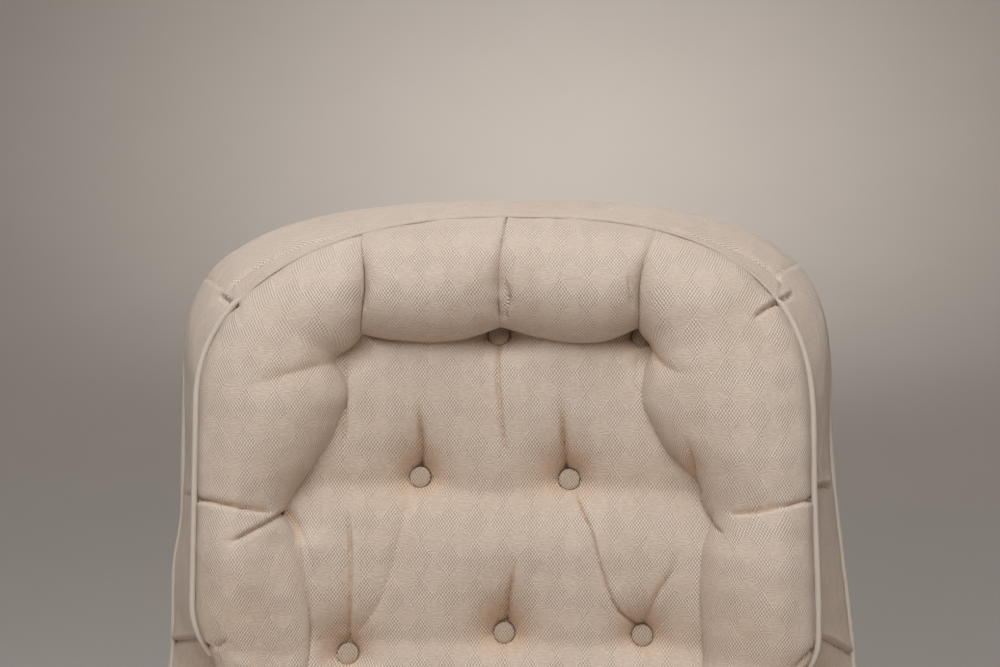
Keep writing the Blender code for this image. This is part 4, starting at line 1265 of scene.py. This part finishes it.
def make_outside_back():
    """The cover stretched over the outside back, with a little padding behind it."""
    shell_low = shell_foot(0.0020)
    top = SHELL[1].base + SHELL[1].rise - 0.004
    share = np.linspace(0, 1, 240)
    zs = shell_low + (1 - (1 - share) ** 1.6) * (top - shell_low)
    left, right = [np.maximum(0.03, SHELL[side].half_width(zs, 0.003))[:, None] for side in SIDES]
    across = np.linspace(-1, 1, 220)
    x = np.where(across < 0, left, right) * across[None, :]
    z = np.broadcast_to(zs[:, None], x.shape)
    edge = (1 - np.abs(across) ** 6)[None, :] * smooth_step((top - zs) / 0.05)[:, None]
    edge = edge * smooth_step((zs - shell_low) / 0.03)[:, None]
    crown = 0.0050 * edge + 0.0010 * ripple(x, z, 0.09, 41) * edge
    rear = on_back(x, SHELL_Y + 0.0065 + crown, z)
    front = on_back(x[:, ::-1][:, ::8], SHELL_Y + 0.001, z[:, ::8])
    rings = np.concatenate([rear, front], axis=1)
    panel = loft("outside_back_cover", lean(rings), rings[..., [0, 2]], "fabric")
    on_seat(panel, "outside_back")


def make_back():
    make_field()
    make_buttons()
    make_wing_roll(-1, LEFT_WING, LEFT_WING_PLEATS, 3)
    make_wing_roll(1, RIGHT_WING, RIGHT_WING_PLEATS, 13)
    make_top_roll(-1, TOP_LEFT, ["top_roll"])
    make_top_roll(1, TOP_RIGHT, [])
    make_back_welts()
    make_border_band()
    make_outside_back()


# ---------------------------------------------------------------- flat covers

PANEL_STEP = 0.004
EDGE_ROUND = 0.0035  # radius of a panel's edges


def make_panel(name, corners, nodes, thick, crown, seed=50):
    """A cover stretched over a flat frame, its middle raised by crown. corners are its outer
    corners, as seen from outside: low left, low right, top right and top left."""
    low_left, low_right, top_right, top_left = [np.array(corner, float) for corner in corners]
    width = np.linalg.norm(low_right - low_left)
    height = np.linalg.norm(top_left - low_left)
    across = np.linspace(0, 1, int(width / PANEL_STEP) + 2)[None, :, None]
    up = np.linspace(0, 1, int(height / PANEL_STEP) + 2)[:, None, None]
    flat = between(between(low_left, low_right, across), between(top_left, top_right, across), up)
    outward = unit(np.cross(low_right - low_left, top_left - low_left))
    to_side = np.minimum(across, 1 - across) * width
    to_end = np.minimum(up, 1 - up) * height
    near_edge = np.maximum(0, EDGE_ROUND - np.minimum(to_side, to_end))
    drop = EDGE_ROUND - np.sqrt(EDGE_ROUND**2 - near_edge**2)
    swell = crown * (smooth_step(to_side / 0.05) * smooth_step(to_end / 0.05)) ** 0.6
    swell = swell + 0.0007 * soft_noise(flat, 0.05, seed)[..., None] * smooth_step(to_side / 0.02)
    front = flat + outward * (swell - drop)
    rear = flat[:, ::-1] - outward * thick
    cloth = np.concatenate([across * width + 0 * up, 0 * across + up * height], axis=-1)
    rings = np.concatenate([front, rear], axis=1)
    cover = loft(name, rings, np.concatenate([cloth, cloth[:, ::-1]], axis=1), "fabric")
    return on_seat(cover, *nodes)


def upright(left, right, y, low, high):
    """Corners of an upright face across the chair, at a depth of y."""
    return [(left, y, low), (right, y, low), (right, y, high), (left, y, high)]


def facing(side, corners):
    """Corners given for the right-hand piece, mirrored for the left one and kept anticlockwise."""
    if side > 0:
        return corners
    mirrored = [(-x, y, z) for x, y, z in corners]
    return [mirrored[1], mirrored[0], mirrored[3], mirrored[2]]


# ---------------------------------------------------------------- arms

ARM_TOP_LINE = (  # y and z over the arm pad, from the foot of its front to its rear end
    (-0.4045, 0.4440),
    (-0.4090, 0.4620),
    (-0.4080, 0.4930),
    (-0.4010, 0.5220),
    (-0.3850, 0.5400),
    (-0.3600, 0.5480),
    (-0.3000, 0.5480),
    (-0.1000, 0.5325),
    (0.1000, 0.5160),
    (0.2150, 0.5150),
)
ARM_SHARE = (0.00, 0.02, 0.05, 0.08, 0.12, 0.17, 0.26, 0.53, 0.84, 1.00)  # along the pad's foot
ARM_CROWN = 0.013
ARM_STEP = 0.0035
ARM_POINTS = (22, 40, 12)  # of a ring, up each side, over the top and along the foot
POST_SHARE = 0.93  # from here on, the pad's inner side leaves room for the back
POST_ROOM = 0.058
INSIDE_ARM_REAR = 0.160


def make_arm_pad(side):
    """The padded top of an arm: rings stand on its foot line, and fan round its front."""
    low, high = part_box(named("arm_pad", side))
    inner, outer = sorted((abs(low.x), abs(high.x)))
    top = np.array(ARM_TOP_LINE)
    knots = lengths_along(top)
    count = int(knots[-1] / ARM_STEP)
    at = np.linspace(0, knots[-1], count)
    top_line = through(knots, top, at)
    share = through(knots, ARM_SHARE, at)
    front_foot = np.array([-0.3960, low.z + 0.0006])
    rear_foot = np.array([high.y - 0.0225, low.z + 0.0006])
    foot_line = front_foot + (rear_foot - front_foot) * share[:, None]
    post_room = POST_ROOM * smooth_step((share - POST_SHARE) / 0.03)[:, None]
    inner_x = inner + 0.0005 + post_room
    outer_x = np.full((count, 1), outer - 0.0010)
    side_count, top_count, foot_count = ARM_POINTS
    sides = np.linspace(0, 1, side_count)
    tops = np.linspace(0, 1, top_count)
    feet = np.linspace(1, 0, foot_count + 2)[1:-1]
    bow = np.sin(sides * math.pi) ** 0.8
    width = outer_x - inner_x
    columns = [inner_x - 0.0012 * bow * (post_room < 0.001), inner_x + width * tops]
    columns += [outer_x + 0.0028 * bow, inner_x + width * feet]
    x = np.concatenate(columns, axis=1)
    swell = (1 - np.abs(2 * tops - 1) ** 2.4) ** 0.75
    reach = np.linalg.norm(top_line - foot_line, axis=1)
    lift = 1 + ARM_CROWN / np.maximum(0.02, reach)[:, None] * swell * smooth_step(at / 0.03)[:, None]
    row = np.ones((count, 1))
    up = np.concatenate([row * sides, lift, row * sides[::-1], row * 0 * feet], axis=1)
    profile = foot_line[:, None, :] + (top_line - foot_line)[:, None, :] * up[..., None]
    rings = np.concatenate([side * x[..., None], profile], axis=-1)
    rings = rings + 0.0009 * soft_noise(rings, 0.045, 61)[..., None] * np.array([0.3, 0.3, 1])
    cloth = profile.copy()
    over = slice(side_count, side_count + top_count)
    cloth[:, over, 0] = x[:, over]
    cloth[:, over, 1] = at[:, None]
    pad = loft(named("arm_pad_cover", side), rings, cloth, "fabric")
    on_seat(pad, named("arm_pad", side))
    for label, edge_x in (("inner", inner_x + 0.0005), ("outer", outer_x - 0.0005)):
        edge = np.concatenate([side * edge_x, top_line], axis=1)
        line = smooth_line(edge[share < POST_SHARE][::6], CORD_STEP)
        make_welt(named(f"arm_welt_{label}", side), line, radius=0.0036, seed=62, world=True)


def make_arm_covers(side):
    """The covers over an arm's front, with its welt, and over its outside and inside."""
    low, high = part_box(named("arm_front", side))
    inner, outer = sorted((abs(low.x), abs(high.x)))
    foot, top = low.z, high.z
    front = low.y
    corners = facing(side, upright(inner, outer, front, foot, top))
    make_panel(named("arm_front_cover", side), corners, [named("arm_front", side)], 0.0085, 0.0035)
    edge, bend = 0.0040, 0.0060
    route = [
        (inner + edge, foot + edge),
        (inner + edge, top - edge - bend),
        (inner + edge + bend, top - edge),
        (outer - edge - bend, top - edge),
        (outer - edge, top - edge - bend),
        (outer - edge, foot + edge),
    ]
    line = np.array([(side * x, front - 0.0005, z) for x, z in route])
    legs = [np.linspace(line[k], line[k + 1], 6)[:-1] for k in range(len(line) - 1)]
    welt = smooth_line(np.concatenate([*legs, line[-1:]]), CORD_STEP)
    make_welt(named("arm_front_welt", side), welt, radius=0.0034, seed=63, world=True)

    low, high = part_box(named("outside_arm", side))
    face = max(abs(low.x), abs(high.x))
    front, foot, top = low.y, low.z, high.z
    rear_top = high.y
    rear_foot = rear_top - (top - foot) * math.tan(RECLINE)
    corners = [(face, front, foot), (face, rear_foot, foot), (face, rear_top, top), (face, front, top)]
    corners = facing(side, corners)
    nodes = [named("outside_arm", side)]
    make_panel(named("outside_arm_cover", side), corners, nodes, 0.0058, 0.0022, seed=52)
    face = inner - 0.0005
    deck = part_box("seat_deck")[0].z
    top -= 0.0005
    rear = INSIDE_ARM_REAR
    corners = [(face, rear, deck), (face, front, deck), (face, front, top), (face, rear + 0.03, top)]
    corners = facing(side, corners)
    make_panel(named("inside_arm_cover", side), corners, (), 0.0022, 0.0008, seed=53)


# ---------------------------------------------------------------- seat

CUSHION_STEP = 0.0090
CUSHION_START = ((0.004, 0.012, 0.006), (0.004, 0.004, 0.014))  # how far inside its solid it starts
CUSHION_PRESSURE = 4.0
CUSHION_FRAMES = 20
CUSHION_CAPS = (0.008, 0.010, 0.020)  # how far a point may move along X, Y and Z


def cushion_box(low, high):
    """A closed box of square cells. Returns its points, faces, each point's cloth place, and its
    two edge loops. Its top falls a little to the rear, and its rear leans with the back."""
    size = np.array(high) - np.array(low)
    counts = np.maximum(2, np.round(size / CUSHION_STEP).astype(int))
    index = {}
    points, cloth, faces = [], [], []

    def point(i, j, k):
        key = (i, j, k)
        if key not in index:
            index[key] = len(points)
            share = np.array([i, j, k]) / counts
            place = np.array(low) + size * share
            place[1] -= (1 - share[2]) * share[1] * 0.012
            place[2] -= 0.012 * share[2] * smooth_step((share[1] - 0.45) / 0.55)
            points.append(place)
            if k in (0, counts[2]):
                cloth.append((place[0], place[1]))
            elif j in (0, counts[1]):
                cloth.append((place[0], place[2]))
            else:
                cloth.append((place[1], place[2]))
        return index[key]

    def patch(first, second, fixed, level):
        for a in range(counts[first]):
            for b in range(counts[second]):
                corner = []
                for da, db in ((0, 0), (1, 0), (1, 1), (0, 1)):
                    at = [0, 0, 0]
                    at[first], at[second], at[fixed] = a + da, b + db, level
                    corner.append(point(*at))
                faces.append(corner if level else corner[::-1])

    for first, second, fixed in ((0, 1, 2), (1, 2, 0), (2, 0, 1)):
        patch(first, second, fixed, 0)
        patch(first, second, fixed, counts[fixed])
    nx, ny, _ = counts
    rim = [(i, 0) for i in range(nx)] + [(nx, j) for j in range(ny)]
    rim += [(i, ny) for i in range(nx, 0, -1)] + [(0, j) for j in range(ny, 0, -1)]
    loops = [[index[(i, j, k)] for i, j in rim] for k in (0, counts[2])]
    return np.array(points), faces, np.array(cloth), loops


def puff(obj, pressure, frames, caps):
    """Fills the piece by cloth simulation. Returns its points, with each one's travel capped."""
    rest = mesh_points(obj.data)
    cloth = obj.modifiers.new("filling", "CLOTH")
    settings = cloth.settings
    settings.use_pressure = True
    settings.uniform_pressure_force = pressure
    settings.effector_weights.gravity = 0
    settings.quality = 6
    settings.tension_stiffness = 25
    settings.compression_stiffness = 12
    settings.shear_stiffness = 12
    settings.bending_stiffness = 1.2
    settings.mass = 0.35
    scene = bpy.context.scene
    for number in range(1, frames + 1):
        scene.frame_set(number)
    evaluated = obj.evaluated_get(bpy.context.evaluated_depsgraph_get())
    travel = mesh_points(evaluated.data) - rest
    obj.modifiers.remove(cloth)
    scene.frame_set(1)
    limit = np.array(caps)
    return rest + limit * np.tanh(travel / limit)


def relax(points, faces, rounds, held=()):
    """Evens a mesh out, leaving the held points where they are."""
    first = np.concatenate([[f[k] for f in faces] for k in range(4)])
    second = np.concatenate([[f[(k + 1) % 4] for f in faces] for k in range(4)])
    count = np.bincount(first, minlength=len(points))[:, None]
    for _ in range(rounds):
        total = np.zeros_like(points)
        np.add.at(total, first, points[second])
        smooth = total / count
        smooth[list(held)] = points[list(held)]
        points = 0.5 * points + 0.5 * smooth
    return points


def make_seat_cushion():
    """The loose cushion: a box of cloth, filled by simulation, with a welt on its two edges."""
    low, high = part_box("seat_cushion")
    start_low = np.array(low) + CUSHION_START[0]
    start_high = np.array(high) - CUSHION_START[1]
    points, faces, cloth, loops = cushion_box(start_low, start_high)
    cushion = closed_mesh("seat_cushion_cover", points, faces, cloth, "fabric")
    on_seat(cushion, "seat_cushion")
    points = puff(cushion, CUSHION_PRESSURE, CUSHION_FRAMES, CUSHION_CAPS)
    points = relax(points, faces, 2, [i for loop in loops for i in loop])
    points[:, 0] = np.clip(points[:, 0], low.x + 0.0012, high.x - 0.0012)
    points[:, 2] = np.maximum(points[:, 2], low.z + 0.0008)
    wrinkles = 0.0011 * soft_noise(points, 0.060, 71) + 0.0005 * soft_noise(points, 0.022, 72)
    on_top = smooth_step((points[:, 2] - low.z - 0.02) / 0.06)
    points[:, 2] += wrinkles * on_top
    points[:, 1] += wrinkles * (1 - on_top)
    cushion.data.vertices.foreach_set("co", points.ravel())
    finer = cushion.modifiers.new("finer", "SUBSURF")
    finer.levels = 1
    finer.render_levels = 1
    for label, loop in zip(("lower", "upper"), loops):
        rim = points[loop]
        closed_rim = smooth_line(np.vstack([rim, rim[:1]])[::2], CORD_STEP)[:-1]
        make_welt(f"cushion_welt_{label}", closed_rim, radius=0.0038, seed=73, world=True, loop=True)


def make_seat_deck():
    """The quilted deck that the cushion lies on, sagging a little between its rails."""
    low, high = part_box("seat_deck")
    plan = (low.x, low.y), (high.x, low.y), (high.x, high.y), (low.x, high.y)
    corners = [(x, y, high.z) for x, y in plan]
    deck = make_panel("seat_deck_cover", corners, ["seat_deck"], high.z - low.z, -0.0010, seed=54)


def make_front_border():
    """The cover over the front rail, under the cushion."""
    low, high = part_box("front_border")
    corners = upright(low.x, high.x, low.y, low.z, high.z)
    thick = high.y - low.y - 0.0005
    make_panel("front_border_cover", corners, ["front_border"], thick, 0.0030, seed=55)


CAMBRIC = 0.0006  # thickness of the dust cover's cloth
WINDOW = (0.124, 0.110)  # half the dust cover's window, across and to the rear
COVER_WAIST = (0.270, 0.130)  # where the dust cover's rear corners are cut off


def make_dust_cover():
    """Black cambric under the seat: its window leaves the seat plate free, and its edges are folded
    in under their staples."""
    low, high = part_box("dust_cover")
    cut_x, cut_y = COVER_WAIST
    rim = [(low.x, low.y), (high.x, low.y), (high.x, cut_y)]
    rim += [(cut_x, high.y), (-cut_x, high.y), (low.x, cut_y)]
    half_x, half_y = WINDOW
    hole = [(-half_x, -half_y), (half_x, -half_y), (half_x, half_y), (-half_x, half_y)]
    turns = full_turn(160) + math.radians(225)
    outer_line = np.array([ray_hit(rim, turn) for turn in turns])
    inner_line = np.array([ray_hit(hole, turn) for turn in turns])
    across = np.linspace(0, 1, 26)
    sheet = between(inner_line, outer_line, across[:, None, None])
    sag = 0.0016 * np.sin(across * math.pi)[:, None] * (1 + 0.6 * np.cos(5 * turns)[None, :])
    hem = CAMBRIC * (smooth_step((across - 0.93) / 0.03) + smooth_step((0.06 - across) / 0.03))[:, None]
    middle = low.z + 0.0018
    upper = np.concatenate([sheet, (middle - sag)[..., None]], axis=-1)
    lower = np.concatenate([sheet, (middle - sag - CAMBRIC - hem * 0.6)[..., None]], axis=-1)
    rings = np.concatenate([upper, lower[::-1]], axis=0)
    rings = rings.transpose(1, 0, 2)
    cover = loft("dust_cover_cloth", rings, rings[..., :2], "cambric", loop=True)
    on_seat(cover, "dust_cover")
    make_staples(rim, low.z)


def ray_hit(polygon, angle):
    """Where a ray from the middle first crosses a closed outline."""
    direction = np.array([math.cos(angle), math.sin(angle)])
    best = None
    for index, start in enumerate(polygon):
        stop = polygon[(index + 1) % len(polygon)]
        start, edge = np.array(start), np.array(stop) - np.array(start)
        cross = direction[0] * edge[1] - direction[1] * edge[0]
        if abs(cross) < 1e-9:
            continue
        distance = (start[0] * edge[1] - start[1] * edge[0]) / cross
        share = (start[0] * direction[1] - start[1] * direction[0]) / cross
        if distance > 0 and -1e-6 <= share <= 1 + 1e-6 and (best is None or distance < best):
            best = distance
    return direction * best


STAPLE_INSET = 0.012 / 0.385  # share of the way from the dust cover's edge to its middle
STAPLE_SPACING = 0.055


def make_staples(rim, z):
    """Wire staples round the dust cover, a little in from its edge."""
    corners = np.array(rim + rim[:1]) * (1 - STAPLE_INSET)
    pieces = []
    for (x, y), angle in places_along(corners, STAPLE_SPACING):
        along = np.array([math.cos(angle), math.sin(angle), 0])
        line = np.array([x, y, z - 0.0002]) + along[None, :] * np.linspace(-0.005, 0.005, 5)[:, None]
        line[[0, -1], 2] += 0.0012
        pieces.append(cord_rings(line, 0.00055, sides=8)[0])
    join_lofts("dust_cover_staples", pieces, "steel")


def places_along(corners, spacing):
    """Places along straight edges, each with the edge's direction."""
    places = []
    for start, stop in zip(corners[:-1], corners[1:]):
        length = np.linalg.norm(stop - start)
        count = max(1, int(length / spacing))
        angle = math.atan2(*(stop - start)[::-1])
        for k in range(count):
            places.append((start + (stop - start) * (k + 0.5) / count, angle))
    return places


def join_lofts(name, stacks, material, smooth=True):
    """One object of several closed stacks of rings that are all alike."""
    points, faces = [], []
    for rings in stacks:
        start = sum(len(block) for block in points)
        faces += [[start + corner for corner in face] for face in loft_faces(*rings.shape[:2])]
        points.append(with_ends(rings))
    points = np.vstack(points)
    return on_seat(closed_mesh(name, points, faces, points[:, :2], material, smooth))


# ---------------------------------------------------------------- fasteners and blocks


def hexagon(across_flats, turns):
    """The radius of a hexagon at each angle."""
    sector = (turns % (math.pi / 3)) - math.pi / 6
    return across_flats / 2 / np.cos(sector)


def make_bolt(name, place, direction, shank, body):
    """A hex-head bolt with its washer, its seat at place. direction is 1 where it points down."""
    turns = full_turn(36)
    head = hexagon(0.0095, turns)
    profile = [  # radius, and height over the seat
        (0.0022, -shank),
        (0.0031, -shank + 0.001),
        (0.0031, 0.0001),
        (0.0066, 0.0001),
        (0.0070, 0.0003),
        (0.0070, 0.0012),
        (np.minimum(head, 0.0052), 0.0013),
        (head, 0.0015),
        (head, 0.0058),
        (np.minimum(head, 0.0049), 0.0064),
        (np.minimum(head, 0.0043), 0.0066),
    ]
    rings = turned(profile, turns) * (1, 1, direction) + np.array(place)
    bolt = loft(name, rings, rings[..., :2], "steel", smooth=False)
    bolt.data.shade_smooth()
    bolt.data.set_sharp_from_angle(angle=math.radians(30))
    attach(bolt, body)


FLANGE_TOP = 0.0822  # where the leg bolts' heads sit
LEG_BOLT_REACHES = (0.052, 0.076)  # from the column's axis
PLATE_BOLT = (0.090, 0.080)  # across and to the rear of the plate's middle
PLATE_DROP = 0.0036  # from the mount rails' underside to the seat plate's


def make_fasteners():
    """The bolts of the legs and of the seat plate, and the pivot pin's end washers."""
    for leg in range(4):
        angle = math.radians(45 + 90 * leg)
        for index, reach in enumerate(LEG_BOLT_REACHES):
            place = (reach * math.cos(angle), reach * math.sin(angle), FLANGE_TOP)
            make_bolt(f"leg_bolt_{2 * leg + index + 1}", place, 1, 0.027, "base")
    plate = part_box("mount_rail_left")[0].z - PLATE_DROP
    across, along = PLATE_BOLT
    places = [(side * across, end * along, plate) for side in SIDES for end in SIDES]
    for index, place in enumerate(places):
        make_bolt(f"plate_bolt_{index + 1}", place, -1, 0.018, "seat")
    for side in SIDES:
        make_pin_washer(side)


def make_pin_washer(side):
    """A washer on an end of the pivot pin."""
    low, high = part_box("pivot_pin")
    middle = np.array([0, (low.y + high.y) / 2, (low.z + high.z) / 2])
    profile = [(0.0064, 0.0604), (0.0098, 0.0604), (0.0102, 0.0607)]  # radius, place along the pin
    profile += [(0.0102, 0.0615), (0.0098, 0.0618), (0.0064, 0.0618)]
    rings = turned(profile, full_turn(32))[..., [2, 0, 1]] * (side, 1, 1) + middle
    washer = loft(named("pin_washer", side), rings, rings[..., 1:], "steel", loop=True)
    washer.data.set_sharp_from_angle(angle=math.radians(35))
    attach(washer, "seat")


def make_prism(name, outline, z_low, z_high, material):
    """An upright block over an outline in X and Y, its long edges a little rounded."""
    outline = np.array(outline)
    middle = outline.mean(axis=0)
    rounded = []
    count = len(outline)
    for index in range(count):
        here, before, after = outline[index], outline[index - 1], outline[(index + 1) % count]
        rounded.append(here + unit(before - here) * 0.0015)
        rounded.append(here + unit(after - here) * 0.0015)
    rounded = np.array(rounded)
    inset = middle + (rounded - middle) * 0.965
    levels = [(z_low, inset), (z_low + 0.0012, rounded), (z_high - 0.0012, rounded), (z_high, inset)]
    rings = np.array([[(x, y, z) for x, y in ring] for z, ring in levels])
    block = loft(name, rings, rings[..., :2], material, smooth=False)
    return on_seat(block)


COIL_WIRE = 0.0019
COIL_TURNS = 4.5


def make_tension_coil():
    """The spring round the tension bolt, a wire coil that fills the CAD spring's box and rides with the
    seat.
    """
    low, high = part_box("tension_spring")
    radius = (high.x - low.x) / 2 - COIL_WIRE
    middle = (low.y + high.y) / 2
    share = np.linspace(0, 1, 180)
    turns = share * COIL_TURNS * 2 * math.pi
    rise = low.z + COIL_WIRE + (high.z - low.z - 2 * COIL_WIRE) * smooth_step(share)
    line = np.stack([radius * np.cos(turns), middle + radius * np.sin(turns), rise], axis=1)
    rings, _ = cord_rings(line, COIL_WIRE)
    coil = on_seat(loft("tension_coil", rings, rings[..., :2], "steel"), "tension_spring")
    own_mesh(coil)


BLOCK_LEG = 0.055  # how far a front corner block reaches along its rails
BLOCK_HEIGHTS = (0.2290, 0.2900)  # foot and top of the corner blocks
GLUE_GAP = 0.0003


def make_corner_blocks():
    """Wooden blocks that brace the seat frame's corners."""
    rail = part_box("side_rail_right")[0].x - GLUE_GAP
    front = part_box("front_rail")[1].y + GLUE_GAP
    rear_low, rear_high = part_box("rear_rail")
    rear = rear_high.x + GLUE_GAP
    front_block = [(rail, front), (rail, front + BLOCK_LEG), (rail - BLOCK_LEG, front)]
    rear_block = [(rear, rear_high.y), (rear, rear_low.y)]
    rear_block += [(rail, rear_low.y - 0.045), (rail, rear_high.y)]
    for side in SIDES:
        for label, outline in (("front", front_block), ("rear", rear_block)):
            placed = [(side * x, y) for x, y in outline]
            make_prism(named(f"corner_block_{label}", side), placed, *BLOCK_HEIGHTS, "frame_wood")


SPRING_PLACES = (-0.195, -0.065, 0.065, 0.195)  # x of the zigzag springs


def make_spring_clips():
    """Bent steel clips that hold the ends of the zigzag springs on the rails."""
    low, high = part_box("spring_mat")
    wire = 0.0018
    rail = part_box("front_rail")[1].z
    half = [(-0.0085, 0.0006), (-0.0035, 0.0006), (-0.0026, 0.0020), (-0.0015, 0.0046)]
    path = [*half, (0.0, 0.0052), *[(-y, z) for y, z in half[::-1]]]
    bend = smooth_line(path, 0.0006)
    stacks = []
    for x in SPRING_PLACES:
        for y in (low.y + wire, high.y - wire):
            edges = [[(x + across, y + dy, rail + dz) for dy, dz in bend] for across in (-0.006, 0.006)]
            strip = np.array(edges).transpose(1, 0, 2)
            upper = strip + (0, 0, 0.0004)
            lower = strip[:, ::-1] - (0, 0, 0.0002)
            stacks.append(np.concatenate([upper, lower], axis=1))
    join_lofts("spring_clips", stacks, "steel", smooth=False)


def make_seat():
    make_seat_cushion()
    make_seat_deck()
    make_front_border()
    make_dust_cover()
    for side in SIDES:
        make_arm_pad(side)
        make_arm_covers(side)
    make_fasteners()
    make_tension_coil()
    make_corner_blocks()
    make_spring_clips()


# ---------------------------------------------------------------- floor and backdrop


FLOOR_TONES = ((0.53, 0.500, 0.475, 1), (0.50, 0.470, 0.445, 1))


def make_stage():
    """A round studio sweep: a pale floor that rises into a wall on every side."""
    graph = Graph("pale_floor")
    place = graph.place()
    cloudy = graph.noise(place, 3.0, 3.0)
    colour = graph.mix(cloudy, *FLOOR_TONES)
    material = graph.finish(colour, 0.9)
    profile = [(0.3, 0.0), (2.4, 0.0), (4.2, 0.12), (5.7, 0.62), (6.7, 1.6), (7.2, 3.4)]  # reach, height
    line = np.vstack([[(0.001, 0.0)], smooth_line(profile, 0.12)])
    rings = turned(line, full_turn(120))
    mesh = bpy.data.meshes.new("studio_sweep")
    mesh.from_pydata(rings.reshape(-1, 3).tolist(), [], grid_faces(*rings.shape[:2]).tolist())
    mesh.materials.append(material)
    link("studio_sweep", mesh)


def repaint_nodes():
    """Gives every CAD node that stays its procedural material."""
    for body in frame["bodies"]:
        for name in frame["record"]["behaviour"]["bodies"][body]:
            node = NODES[name]
            for slot in node.material_slots:
                for key, material in MATERIALS.items():
                    if slot.material and slot.material.name.split(".")[0] == key:
                        slot.material = material


make_camera()
make_lights()
MATERIALS = make_materials()
make_back()
make_seat()
make_stage()
repaint_nodes()
